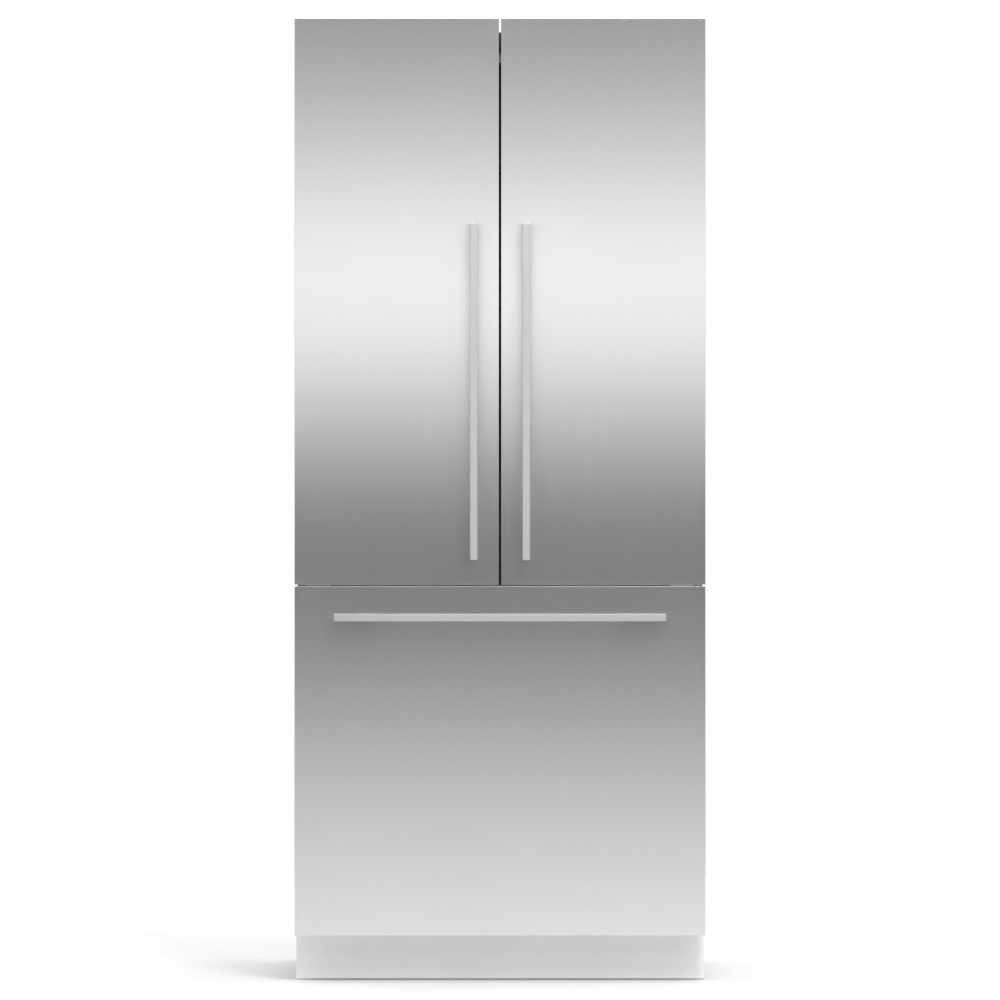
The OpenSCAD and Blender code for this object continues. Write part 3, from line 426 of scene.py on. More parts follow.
class Surface(NodeTree):
    """The nodes of one new material."""

    def __init__(self, name):
        self.material = bpy.data.materials.new(name)
        self.material.use_nodes = True
        super().__init__(self.material.node_tree)
        self.sockets = self.tree.nodes["Principled BSDF"].inputs
        self.place = self.add("ShaderNodeTexCoord").outputs["Object"]
        made_finishes[name] = self.material

    def put(self, socket, value):
        """Joins an output to one of the shader's inputs, or sets the input to a value."""
        if isinstance(value, bpy.types.NodeSocket):
            self.join(value, self.sockets[socket])
        else:
            self.sockets[socket].default_value = value

    def noise(self, scale, stretch=EVEN, detail=4.0, rough=0.55):
        """Noise with scale features per metre, stretched by a share along each axis."""
        mapping = self.add("ShaderNodeMapping", {"Scale": [scale * s for s in stretch]})
        self.join(self.place, mapping.inputs["Vector"])
        values = {"Scale": 1.0, "Detail": detail, "Roughness": rough}
        noise = self.add("ShaderNodeTexNoise", values)
        self.join(mapping.outputs["Vector"], noise.inputs["Vector"])
        return noise.outputs["Fac"]

    def spread(self, value, low, high, lo_in=0.3, hi_in=0.7):
        """Takes a value from one range to another."""
        limits = {"From Min": lo_in, "From Max": hi_in, "To Min": low, "To Max": high}
        mapped = self.add("ShaderNodeMapRange", limits)
        self.join(value, mapped.inputs["Value"])
        return mapped.outputs["Result"]

    def average(self, first, second, share=0.5):
        """Mixes two values, share being how much of the second there is."""
        mixed = self.add("ShaderNodeMix", {0: share}, data_type="FLOAT")
        self.join(first, mixed.inputs[2])
        self.join(second, mixed.inputs[3])
        return mixed.outputs[0]

    def blend(self, value, dark, light):
        """Mixes two colours by a value."""
        ends = {6: (*dark, 1.0), 7: (*light, 1.0)}
        mixed = self.add("ShaderNodeMix", ends, data_type="RGBA")
        self.join(value, mixed.inputs[0])
        return mixed.outputs[2]

    def tinted(self, value, colour, share):
        """A colour that a value makes darker and lighter by a share."""
        dark = [c * (1 - share) for c in colour]
        light = [min(1.0, c * (1 + share)) for c in colour]
        return self.blend(value, dark, light)

    def bump(self, height, strength, distance):
        """Raises and sinks the surface by a value."""
        bump = self.add("ShaderNodeBump", {"Strength": strength, "Distance": distance})
        self.join(height, bump.inputs["Height"])
        self.put("Normal", bump.outputs["Normal"])


def plain_finish(name, finish):
    """Fine grain and broad mottling in the colour, the roughness and the surface."""
    surface = Surface(name)
    fine = surface.noise(finish.grain, finish.stretch)
    mottling = surface.noise(9.0, EVEN, 3.0)
    shade = surface.spread(surface.average(fine, mottling, 0.6), 0.0, 1.0)
    surface.put("Base Color", surface.tinted(shade, finish.colour, finish.tint))
    wear = surface.average(fine, surface.noise(34.0), 0.5)
    smooth, dull = finish.roughness * (1 - finish.wear), finish.roughness * (1 + finish.wear)
    surface.put("Roughness", surface.spread(wear, smooth, dull))
    surface.put("Metallic", finish.metal)
    for socket, value in finish.sockets.items():
        surface.put(socket, value)
    surface.bump(fine, finish.bump, 0.0004)


def brushed_finish(name, colour, roughness, metal, stretch, anisotropy, contrast):
    """Stainless steel with long hair-fine scratches; less metal makes it more matt."""
    surface = Surface(name)
    hair = surface.noise(2600.0, stretch, 5.0, 0.7)
    band = surface.noise(420.0, stretch, 3.0)
    cloud = surface.noise(3.0, EVEN, 2.0)
    scratch = surface.average(hair, band, 0.35)
    shade = surface.spread(surface.average(scratch, cloud, 0.25), 0.0, 1.0)
    surface.put("Base Color", surface.tinted(shade, colour, contrast))
    surface.put("Roughness", surface.spread(scratch, roughness * 0.90, roughness * 1.10))
    surface.put("Metallic", metal)
    surface.put("Anisotropic", anisotropy)
    surface.bump(hair, 0.06, 0.00012)


def galvanised_finish(name):
    """Zinc-coated sheet with its crystal pattern."""
    surface = Surface(name)
    mapping = surface.add("ShaderNodeMapping", {"Scale": (75.0, 75.0, 60.0)})
    surface.join(surface.place, mapping.inputs["Vector"])
    cells = surface.add("ShaderNodeTexVoronoi", {"Scale": 1.0}, feature="F1")
    surface.join(mapping.outputs["Vector"], cells.inputs["Vector"])
    split = surface.add("ShaderNodeSeparateColor")
    surface.join(cells.outputs["Color"], split.inputs["Color"])
    mottled = surface.average(split.outputs["Red"], surface.noise(14.0), 0.45)
    surface.put("Base Color", surface.blend(mottled, (0.44, 0.46, 0.48), (0.64, 0.66, 0.68)))
    surface.put("Roughness", surface.spread(mottled, 0.32, 0.52, 0.0, 1.0))
    surface.put("Metallic", 1.0)
    surface.bump(surface.noise(600.0), 0.12, 0.0003)


# ---- properties ----


class FridgeShape(bpy.types.PropertyGroup):
    """Roundings and counts of the visible pieces."""

    front_edge: FloatProperty(
        name="Front edge", description="Rounding of the folded steel fronts",
        default=0.0007, min=0.0004, max=0.004, unit="LENGTH",
    )
    handle_edge: FloatProperty(
        name="Handle edge", description="Bevel of the square handle bars",
        default=0.0014, min=0.0004, max=0.004, unit="LENGTH",
    )
    bin_corner: FloatProperty(
        name="Bin corner", description="Rounding of bins, trays and crispers",
        default=0.012, min=0.003, max=0.03, unit="LENGTH",
    )
    liner_corner: FloatProperty(
        name="Liner corner", description="Rounding inside the moulded liners",
        default=0.016, min=0.004, max=0.03, unit="LENGTH",
    )
    ridge_round: FloatProperty(
        name="Ridge rounding", description="Rounding of the ridge on a door's inner skin",
        default=0.005, min=0.001, max=0.006, unit="LENGTH",
    )
    touch_dots: IntProperty(
        name="Touch dots", description="Number of lit dots in the touch window",
        default=5, min=1, max=9,
    )


class FridgeLook(bpy.types.PropertyGroup):
    """Colours and grain of the steel."""

    steel: FloatVectorProperty(
        name="Steel", description="Colour of the brushed fronts", subtype="COLOR",
        size=3, default=(0.74, 0.745, 0.75), min=0.0, max=1.0,
    )
    handle: FloatVectorProperty(
        name="Handle", description="Colour of the handles", subtype="COLOR",
        size=3, default=(0.48, 0.48, 0.48), min=0.0, max=1.0,
    )
    steel_metal: FloatProperty(
        name="Steel mirror", description="Share of the fronts' light that is a metal's reflection",
        default=0.95, min=0.0, max=1.0, subtype="FACTOR",
    )
    handle_metal: FloatProperty(
        name="Handle mirror", description="Share of the handles' light that is a metal's reflection",
        default=0.25, min=0.0, max=1.0, subtype="FACTOR",
    )
    steel_roughness: FloatProperty(
        name="Steel roughness", description="Roughness of the brushed fronts",
        default=0.30, min=0.05, max=0.8, subtype="FACTOR",
    )
    grain_contrast: FloatProperty(
        name="Grain contrast", description="How far the brushing varies the steel's colour",
        default=0.045, min=0.0, max=0.3, subtype="FACTOR",
    )


class FridgeStage(bpy.types.PropertyGroup):
    """Floor, lights and camera."""

    floor_size: FloatProperty(
        name="Floor", description="Side of the square floor", default=6.4, min=2.0, unit="LENGTH",
    )
    camera_height: FloatProperty(
        name="Camera height", description="Height of the camera", default=1.0675, min=0.1, unit="LENGTH",
    )
    lens: FloatProperty(
        name="Lens", description="Focal length of the camera", default=200.0, min=50.0, unit="CAMERA",
    )
    frame_width: FloatProperty(
        name="Frame width", description="Width that the camera takes in at the doors",
        default=2.2142, min=1.0, unit="LENGTH",
    )
    screen_distance: FloatProperty(
        name="Screen distance", description="Distance of the light screen from the doors",
        default=2.2, min=1.0, unit="LENGTH",
    )
    screen_power: FloatProperty(
        name="Screen power", description="Brightness of the light screen", default=1.0, min=0.0,
    )
    key_power: FloatProperty(
        name="Key", description="Light from the upper right, in watts", default=90.0, min=0.0,
    )
    overhead_power: FloatProperty(
        name="Overhead", description="Light from above, in watts", default=120.0, min=0.0,
    )


# ---- stage ----


def area_light(name, place, target, size, watts):
    """A rectangular light that points at a target and can't be seen itself."""
    data = bpy.data.lights.new(name, "AREA")
    data.shape = "RECTANGLE"
    data.size, data.size_y = size
    data.energy = watts
    obj = new_object(name, data)
    obj.location = place
    obj.rotation_mode = "QUATERNION"
    obj.rotation_quaternion = (Vector(target) - Vector(place)).to_track_quat("-Z", "Y")
    obj.visible_camera = False


# Brightness of the light screen against height above the floor, in metres.
SCREEN_STEPS = (
    (0.00, 0.86), (0.26, 0.76), (0.46, 0.50), (0.70, 0.21), (0.90, 0.04), (1.08, 0.10),
    (1.32, 0.74), (1.62, 1.72), (1.88, 0.98), (2.30, 0.19), (2.80, 0.06),
)
SCREEN_SIZE = (5.6, 3.0)

# The fixed lights: place, target, size and watts.
FILLS = {
    "Left fill": ((-4.2, 1.2, 1.8), (0, FRONT, 1.0), (2.4, 2.8), 28),
    "Right fill": ((4.2, 1.2, 1.8), (0, FRONT, 1.0), (2.4, 2.8), 28),
    "Back fill": ((0.6, 4.6, 2.0), (0, 0, 1.0), (3.4, 2.8), 40),
}

# Colour of the dome that lights the object, from straight down (0) to straight up (1).
DOME_STEPS = (
    (0.46, (0.16, 0.162, 0.165)),
    (0.56, (0.24, 0.243, 0.248)),
    (0.80, (1.25, 1.25, 1.25)),
)


def light_screen(y, power):
    """A glowing screen in front of the doors, brighter in a wide band and near the floor.

    The camera looks through it; only the object and the floor see it.
    """
    width, height = SCREEN_SIZE
    bm = bmesh.new()
    size = Matrix.Diagonal((width, height, 1.0, 1.0))
    place = Matrix.Translation((0, y, height / 2)) @ UPRIGHT @ size
    bmesh.ops.create_grid(bm, x_segments=1, y_segments=1, size=0.5, matrix=place)
    surface = Surface("screen_glow")
    split = surface.add("ShaderNodeSeparateXYZ")
    surface.join(surface.place, split.inputs["Vector"])
    ramp = surface.add("ShaderNodeValToRGB")
    ramp.color_ramp.interpolation = "B_SPLINE"
    top = max(value for _, value in SCREEN_STEPS)
    surface.steps(ramp, [(z / height, (value / top,) * 3) for z, value in SCREEN_STEPS])
    up = surface.spread(split.outputs["Z"], 0.0, 1.0, 0.0, height)
    surface.join(up, ramp.inputs["Fac"])
    surface.put("Emission Color", ramp.outputs["Color"])
    surface.put("Emission Strength", top * power)
    surface.put("Base Color", (0, 0, 0, 1))
    surface.put("Specular IOR Level", 0.0)
    screen = mesh_object("Light_screen", bm, surface.material)
    screen.visible_camera = False
    screen.visible_shadow = False


def studio_world():
    """White behind the object, and a softer dome for what lights it."""
    world = bpy.data.worlds.new("Studio")
    world.use_nodes = True
    nodes = NodeTree(world.node_tree)
    back = nodes.tree.nodes["Background"]
    back.inputs["Color"].default_value = (1, 1, 1, 1)
    back.inputs["Strength"].default_value = 1.0
    dome = nodes.add("ShaderNodeBackground")
    sky = nodes.add("ShaderNodeTexCoord")
    split = nodes.add("ShaderNodeSeparateXYZ")
    ramp = nodes.add("ShaderNodeValToRGB")
    nodes.steps(ramp, DOME_STEPS)
    lift = nodes.add("ShaderNodeMath", {1: 0.5, 2: 0.5}, operation="MULTIPLY_ADD")  # to 0..1
    nodes.join(sky.outputs["Generated"], split.inputs["Vector"])
    nodes.join(split.outputs["Z"], lift.inputs[0])
    nodes.join(lift.outputs[0], ramp.inputs["Fac"])
    nodes.join(ramp.outputs["Color"], dome.inputs["Color"])
    path = nodes.add("ShaderNodeLightPath")
    mix = nodes.add("ShaderNodeMixShader")
    nodes.join(path.outputs["Is Camera Ray"], mix.inputs["Fac"])
    nodes.join(dome.outputs[0], mix.inputs[1])
    nodes.join(back.outputs[0], mix.inputs[2])
    nodes.join(mix.outputs[0], nodes.tree.nodes["World Output"].inputs["Surface"])
    bpy.context.scene.world = world


class FRIDGE_OT_stage(bpy.types.Operator):
    """Make the floor, the soft lights and the camera"""

    bl_idname = "fridge.stage"
    bl_label = "Stage"

    def execute(self, context):
        stage = context.scene.fridge_stage
        bm = bmesh.new()
        bmesh.ops.create_grid(bm, x_segments=8, y_segments=8, size=stage.floor_size / 2)
        surface = Surface("studio_floor")
        shade = surface.spread(surface.noise(2.0), 0.0, 1.0)
        surface.put("Base Color", surface.blend(shade, (0.60, 0.60, 0.60), (0.63, 0.63, 0.63)))
        surface.put("Roughness", 0.8)
        mesh_object("Floor", bm, surface.material)

        light_screen(FRONT - stage.screen_distance, stage.screen_power)
        area_light("Key", (0.9, FRONT - 2.5, 3.7), (0, FRONT, 0.9), (1.0, 1.0), stage.key_power)
        area_light("Overhead", (0, 0.2, 4.6), (0, 0.2, 0), (5.0, 5.0), stage.overhead_power)
        for name, light in FILLS.items():
            area_light(name, *light)
        studio_world()
        context.scene.view_settings.view_transform = "Standard"
        self.camera(context.scene, stage)
        return {"FINISHED"}

    def camera(self, scene, stage):
        """A level camera, as far off as its lens needs to take in the frame's width."""
        data = bpy.data.cameras.new("Camera")
        data.lens = stage.lens
        data.sensor_width = 36.0
        data.clip_end = 60.0
        distance = stage.frame_width * stage.lens / data.sensor_width
        eye = new_object("Camera", data)
        eye.location = (0, FRONT - distance, stage.camera_height)
        eye.rotation_euler = (math.radians(90), 0, 0)
        scene.camera = eye


class FRIDGE_OT_finishes(bpy.types.Operator):
    """Make every material"""

    bl_idname = "fridge.finishes"
    bl_label = "Finishes"

    def execute(self, context):
        look = context.scene.fridge_look
        for name, finish in PLAIN_FINISHES.items():
            plain_finish(name, finish)
        steel, bar, contrast = tuple(look.steel), tuple(look.handle), look.grain_contrast
        brushed_finish(
            "brushed_stainless", steel, look.steel_roughness, look.steel_metal, VERTICAL,
            anisotropy=0.8, contrast=contrast,
        )
        for name, stretch in (("handle_stainless", VERTICAL), ("handle_stainless_across", ACROSS)):
            brushed_finish(
                name, bar, HANDLE_ROUGHNESS, look.handle_metal, stretch,
                anisotropy=0.3, contrast=contrast,
            )
        galvanised_finish("galvanised_steel")
        finish_of = {n: name for name, nodes in FINISH_NODES.items() for n in nodes.split()}
        for name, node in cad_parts.items():
            for slot in node.material_slots:
                slot.material = made_finishes[finish_of[name]]
        return {"FINISHED"}


# ---- fronts ----


class FRIDGE_OT_fronts(bpy.types.Operator):
    """Fold the steel fronts of both doors and the drawer"""

    bl_idname = "fridge.fronts"
    bl_label = "Steel fronts"

    def execute(self, context):
        edge = context.scene.fridge_shape.front_edge
        for node, body in (
            ("left_door_panel", "left_door"),
            ("right_door_panel", "right_door"),
            ("drawer_panel", "freezer_drawer"),
        ):
            lo, hi = span(node)
            bm = bmesh.new()
            add_tub(bm, lo, hi, edge, AXES[Y], segments=3)
            finish_piece(node + "_steel", bm, body, "brushed_stainless", [node], wall=SHEET_T)
        return {"FINISHED"}


class FRIDGE_OT_handles(bpy.types.Operator):
    """Make the square bar handles on their long feet"""

    bl_idname = "fridge.handles"
    bl_label = "Handles"

    def execute(self, context):
        edge = context.scene.fridge_shape.handle_edge
        for side, _ in SIDES:
            node = side + "_handle"
            finish = "handle_stainless"
            finish_piece(side + "_bar", self.bar(node, Z, X, edge), side + "_door", finish, [node])
        finish_piece(
            "drawer_bar", self.bar("drawer_handle", X, Z, edge), "freezer_drawer",
            "handle_stainless_across", ["drawer_handle"], slot="handle_stainless",
        )
        return {"FINISHED"}

    def bar(self, node, along, across, edge):
        """A square bar along one axis, with a long thin foot behind each of its ends."""
        lo, hi = span(node)
        bm = bmesh.new()
        add_box(bm, lo, (hi.x, lo.y + BAR_T, hi.z), edge)
        mid = (lo[across] + hi[across]) / 2
        for start in (lo[along], hi[along] - FOOT_LEN):
            low = Vector((0, lo.y + BAR_T / 2, 0))
            high = Vector((0, hi.y, 0))
            low[across], high[across] = mid - FOOT_W / 2, mid + FOOT_W / 2
            low[along], high[along] = start, start + FOOT_LEN
            add_box(bm, low, high, FOLD_EDGE)
        return bm


class FRIDGE_OT_toe_kick(bpy.types.Operator):
    """Fold the kick plate and its two brackets"""

    bl_idname = "fridge.toe_kick"
    bl_label = "Toe kick"

    def execute(self, context):
        lo, hi = span("toe_kick")
        plate_t = 0.003
        bracket_in, bracket_out = 0.200, 0.240
        bracket_low, bracket_top = 0.060, 0.085
        bm = bmesh.new()
        add_box(bm, lo, (hi.x, lo.y + plate_t, hi.z), 0.0009, 3)
        corners = (lo.y + plate_t / 2, bracket_low), (hi.y, bracket_top)
        add_pair(bm, bracket_in, bracket_out, *corners, MOULD_EDGE)
        finish_piece("kick_plate", bm, "cabinet", "kick_steel", ["toe_kick"])
        return {"FINISHED"}


# ---- cabinet ----


class FRIDGE_OT_cabinet(bpy.types.Operator):
    """Press the back panel, and make the sides and the hinge screws"""

    bl_idname = "fridge.cabinet"
    bl_label = "Cabinet shell"

    def execute(self, context):
        self.back_panel()
        self.side_panels()
        self.screws()
        return {"FINISHED"}

    def back_panel(self):
        """The back sheet, with a frame pressed into each third of its height."""
        lo, hi = span("back_panel")
        fields = 3
        pressing = ((0.055, 0.0), (0.008, -0.0007), (0.030, 0.0), (0.008, 0.0006))  # width, depth
        bm = bmesh.new()
        add_box(bm, lo, hi)
        for i in range(1, fields):
            z = lo.z + (hi.z - lo.z) * i / fields
            everything = bm.verts[:] + bm.edges[:] + bm.faces[:]
            bmesh.ops.bisect_plane(bm, geom=everything, plane_co=(0, 0, z), plane_no=AXES[Z])
        for field in facing(bm.faces, AXES[Y]):
            for width, depth in pressing:
                inset(bm, field, width, depth)
        finish_piece("pressed_back", bm, "cabinet", "galvanised_steel", ["back_panel"])

    def side_panels(self):
        """The two painted sides, outside the roof's ends."""
        lo, hi = span("side_panels")
        inner = span("top_panel")[1].x
        bm = bmesh.new()
        add_pair(bm, inner, hi.x, (lo.y, lo.z), (hi.y, hi.z), 0.0004)
        finish_piece("painted_sides", bm, "cabinet", "cabinet_grey", ["side_panels"])

    def screws(self):
        """Three screw heads for each hinge: on top of the upper ones, in front of the others."""
        head_r, pitch = 0.006, 0.016
        outer = span("hinge_screws")[1].x - head_r
        upper = span("upper_hinges")[1]
        center_lo, center_hi = span("center_hinges")
        bm = bmesh.new()
        for side in (-1, 1):
            for i in range(3):
                x = side * (outer - pitch * i)
                add_screw(bm, (x, upper.y - 2 * head_r, upper.z), AXES[Z], head_r)
                add_screw(bm, (x, center_hi.y - 0.004, center_lo.z + 0.013), -AXES[Y], head_r)
        finish_piece("hinge_screw_heads", bm, "cabinet", "zinc_hardware", ["hinge_screws"])


def add_screw(bm, foot, way, radius):
    """A pan-headed screw with a round recess, its head standing on a point."""
    foot = Vector(foot)
    height, sunk, pan = 0.003, 0.002, 0.0011
    end = foot + way * height
    verts = add_rod(bm, foot - way * sunk, end, radius)
    top = facing(faces_of(verts), way)[0]
    round_edges(bm, top.edges, pan)
    level = [f for f in bm.faces if f.normal.dot(way) > 0.99]
    top = min(level, key=lambda f: (f.calc_center_median() - end).length)
    inset(bm, top, radius * 0.36)
    push_out(bm, [top], -way * height * 0.55)
    bmesh.ops.delete(bm, geom=[top], context="FACES_ONLY")


class FRIDGE_OT_liners(bpy.types.Operator):
    """Form the inner boxes of the fridge and the freezer"""

    bl_idname = "fridge.liners"
    bl_label = "Liners"

    def execute(self, context):
        corner = context.scene.fridge_shape.liner_corner
        moulded = {"wall": LINER_WALL, "side": 1.0}
        w = LINER_WALL
        lo, hi = span("fridge_liner")
        bm = bmesh.new()
        low, high = (lo.x + w, lo.y, lo.z + w), (hi.x - w, hi.y - w, hi.z - w)
        add_tub(bm, low, high, corner, -AXES[Y], 6)
        finish_piece("fridge_inner_box", bm, "cabinet", "liner_white", ["fridge_liner"], **moulded)
        self.runners(lo, hi)

        lo, hi = span("freezer_liner")
        hump_y, hump_z = FRONT + HUMP_DEPTH, span("back_panel")[0].z + HUMP_RISE
        outline = (
            (lo.y, lo.z + w), (hump_y, lo.z + w), (hump_y, hump_z),
            (hi.y - w, hump_z), (hi.y - w, hi.z - w), (lo.y, hi.z - w),
        )
        bm = bmesh.new()
        add_stepped_tub(bm, outline, lo.x + w, hi.x - w, corner * 0.8, -AXES[Y])
        finish_piece("freezer_inner_box", bm, "cabinet", "liner_white", ["freezer_liner"], **moulded)
        return {"FINISHED"}

    def runners(self, lo, hi):
        """Four low rails on the fridge's floor that the crispers slide on."""
        crisper_lo, crisper_hi = span("left_crisper")
        floor = lo.z + LINER_WALL
        margin, width, height, sunk = 0.030, 0.010, 0.0057, 0.001
        low = (crisper_lo.y + 0.008, floor - sunk)
        high = (crisper_hi.y, floor + height)
        inner, outer = -crisper_hi.x + margin, hi.x - LINER_WALL - 2 * margin
        bm = bmesh.new()
        for x in (inner, outer):
            add_pair(bm, x, x + width, low, high, MOULD_EDGE)
        finish_piece("crisper_runners", bm, "cabinet", "liner_white")


class FRIDGE_OT_door_inside(bpy.types.Operator):
    """Form the inner skins of both doors with their ridges, and lay the seals"""

    bl_idname = "fridge.door_inside"
    bl_label = "Door skins and seals"

    def execute(self, context):
        radius = context.scene.fridge_shape.ridge_round
        lo, hi = span("right_door_liner")
        bins_lo, bins_hi = span("right_door_bins")
        fridge_lo, fridge_hi = span("fridge_liner")
        back = bins_lo.y
        clear = LINER_WALL + 0.010  # from the liner's outer faces to the ridge
        ridge_lo = (bins_lo.x - RIDGE_W, back - OVERLAP, fridge_lo.z + clear)
        ridge_hi = (bins_hi.x + RIDGE_W, hi.y, fridge_hi.z - clear)
        for side, sign in SIDES:
            bm = bmesh.new()
            add_box(bm, (lo.x, back - SKIN_T, lo.z), (hi.x, back, hi.z), MOULD_EDGE)
            self.ridge(bm, Vector(ridge_lo), Vector(ridge_hi), radius)
            if sign > 0:
                mirrored(bm)
                self.lugs(bm, back)
            body, node = side + "_door", side + "_door_liner"
            finish_piece(side + "_door_skin", bm, body, "liner_white", [node])
            self.seal(side + "_door_gasket", body, side + "_seal")
        self.seal("drawer_gasket", "freezer_drawer", "drawer_seal")
        return {"FINISHED"}

    def ridge(self, bm, lo, hi, radius):
        """The raised rim that goes round a door's bins."""
        verts = add_box(bm, lo, hi)
        floor = facing(faces_of(verts), AXES[Y])[0]
        made = inset(bm, floor, RIDGE_W)
        sink = lo.y + 0.0012 - hi.y  # to just over the skin
        bmesh.ops.translate(bm, verts=list(floor.verts), vec=(0, sink, 0))
        rounded = {e for f in made for e in f.edges} | edges_of(floor.verts)
        rounded |= {e for e in edges_of(verts) if runs_along(e, Y)}
        round_edges(bm, rounded, radius, 4)

    def lugs(self, bm, back):
        """Two lugs on the left door carry the flap, each with a pin."""
        lo, hi = span("mullion")
        top = hi.z - FLAP_PIN_H
        x, y = lo.x + 0.009, lo.y + 0.009  # the flap's axis
        radius, thick, pin_r = 0.008, 0.007, 0.004
        for z0 in (lo.z - 0.008, top + 0.001):
            z1 = z0 + thick
            add_box(bm, (x - radius, back - OVERLAP, z0), (x + 0.003, y, z1), 0.0006)
            add_rod(bm, (x, y, z0), (x, y, z1), radius)
        for z0, z1 in ((lo.z - 0.004, lo.z + 0.015), (top - 0.015, top + 0.004)):
            add_rod(bm, (x, y, z0), (x, y, z1), pin_r)

    def seal(self, node, body, name):
        """A bellows seal: a ring with a groove round its face."""
        bm = bmesh.new()
        add_ring(bm, *span(node), SEAL_W, Y, corner=0.006, groove=0.002)
        finish_piece(name, bm, body, "gasket_grey", [node], edge=0.0011)


class FRIDGE_OT_bins(bpy.types.Operator):
    """Mould the clear door bins and the dairy lid"""

    bl_idname = "fridge.bins"
    bl_label = "Door bins"

    def execute(self, context):
        corner = context.scene.fridge_shape.bin_corner
        lo, hi = span("right_door_bins")
        count, height, rim_h, rim_w = 3, 0.095, 0.007, 0.005
        pitch = (hi.z - height - lo.z) / (count - 1)
        for side, sign in SIDES:
            shells, rims = bmesh.new(), bmesh.new()
            for i in range(count):
                z = lo.z + i * pitch
                top = z + height
                add_tub(shells, (lo.x, lo.y, z), (hi.x, hi.y, top), corner, AXES[Z])
                add_ring(rims, (lo.x, lo.y, top - rim_h), (hi.x, hi.y, top), rim_w, Z, corner)
                foot = (lo.x + 0.02, hi.y - 0.004, z + 0.012), (hi.x - 0.02, hi.y, z + 0.016)
                add_box(rims, *foot, 0.001)
            if sign > 0:
                mirrored(shells)
                mirrored(rims)
                self.ears(rims)
            body, nodes = side + "_door", [side + "_door_bins"]
            finish_piece(side + "_bin_shells", shells, body, "clear_bin", nodes, wall=BIN_WALL)
            finish_piece(
                side + "_bin_rims", rims, body, "shelf_trim", nodes, edge=FOLD_EDGE, slot="clear_bin"
            )
        self.lid()
        return {"FINISHED"}

    def ears(self, bm):
        """Two ears on the top left bin carry the lid's pin."""
        back = span("dairy_lid")[0].y + 0.009
        lo, hi = span("left_door_bins")
        for x0 in (lo.x, hi.x - BIN_WALL):
            add_box(bm, (x0, lo.y, hi.z - 0.013), (x0 + BIN_WALL, back, hi.z), 0.001)

    def lid(self):
        """The dairy lid: a flat cover on a barrel, with a pin through it."""
        lo, hi = span("dairy_lid")
        barrel_r, pin_r, half_t, ear_room = 0.003, 0.002, 0.0015, 0.0055
        y, mid = lo.y + barrel_r, (lo.z + hi.z) / 2
        x0, x1 = lo.x + ear_room, hi.x - ear_room
        bm = bmesh.new()
        add_box(bm, (x0, y, mid - half_t), (x1, hi.y, mid + half_t), 0.0009)
        add_rod(bm, (x0, y, mid), (x1, y, mid), barrel_r)
        add_rod(bm, (lo.x, y, mid), (hi.x, y, mid), pin_r, 16)
        finish_piece("dairy_cover", bm, "dairy_lid", "clear_bin", ["dairy_lid"])


class FRIDGE_OT_crispers(bpy.types.Operator):
    """Mould the two crispers with their grips"""

    bl_idname = "fridge.crispers"
    bl_label = "Crispers"

    def execute(self, context):
        corner = context.scene.fridge_shape.bin_corner
        grip_t, grip_h, rim_h, rim_w = 0.008, 0.034, 0.009, 0.006
        for side, _ in SIDES:
            node = side + "_crisper"
            lo, hi = span(node)
            front = lo.y + grip_t
            bm = bmesh.new()
            add_tub(bm, (lo.x, front, lo.z), hi, corner, AXES[Z])
            finish_piece(side + "_crisper_shell", bm, node, "clear_bin", [node], wall=BIN_WALL)
            bm = bmesh.new()
            add_ring(bm, (lo.x, front, hi.z - rim_h), hi, rim_w, Z, corner)
            verts = add_box(bm, (lo.x, lo.y, hi.z - grip_h), (hi.x, front + OVERLAP, hi.z))
            face = facing(faces_of(verts), -AXES[Y])[0]
            inset(bm, face, 0.009)
            inset(bm, face, 0.003, depth=-0.004)
            finish_piece(
                side + "_crisper_grip", bm, node, "shelf_trim", [node], edge=0.0009, slot="clear_bin"
            )
        return {"FINISHED"}


class FRIDGE_OT_baskets(bpy.types.Operator):
    """Mould the stepped freezer basket and the sliding tray"""

    bl_idname = "fridge.baskets"
    bl_label = "Freezer baskets"

    def execute(self, context):
        corner = context.scene.fridge_shape.bin_corner
        rim_t, rim_out, tray_gap = 0.003, 0.022, 0.003
        body, finish, nodes = "freezer_drawer", "basket_plastic", ["freezer_basket"]
        lo, hi = span("freezer_basket")
        half = hi.x - rim_out
        step_y, step_z = FRONT + STEP_DEPTH, span("back_panel")[0].z + STEP_RISE
        outline = (
            (lo.y, lo.z), (step_y, lo.z), (step_y, step_z),
            (hi.y, step_z), (hi.y, hi.z), (lo.y, hi.z),
        )
        bm = bmesh.new()
        add_stepped_tub(bm, outline, -half, half, corner, AXES[Z])
        finish_piece("basket_shell", bm, body, finish, nodes, wall=BIN_WALL)
        bm = bmesh.new()
        add_ring(bm, (-half, lo.y, hi.z - 0.008), (half, hi.y, hi.z), 0.006, Z, corner)
        add_pair(bm, half - OVERLAP, hi.x, (lo.y, hi.z - rim_t), (hi.y, hi.z), FOLD_EDGE)
        finish_piece("basket_rim", bm, body, finish, nodes, edge=FOLD_EDGE)

        half -= BIN_WALL + tray_gap
        body, finish, nodes = "freezer_tray", "clear_bin", ["freezer_tray"]
        lo, hi = span("freezer_tray")
        bm = bmesh.new()
        add_tub(bm, (-half, lo.y, lo.z), (half, hi.y, hi.z), corner, AXES[Z])
        finish_piece("tray_shell", bm, body, finish, nodes, wall=BIN_WALL)
        bm = bmesh.new()
        add_pair(bm, half - OVERLAP, hi.x, (lo.y, hi.z - rim_t), (hi.y, hi.z), FOLD_EDGE)
        finish_piece("tray_rails", bm, body, finish, nodes)
        return {"FINISHED"}


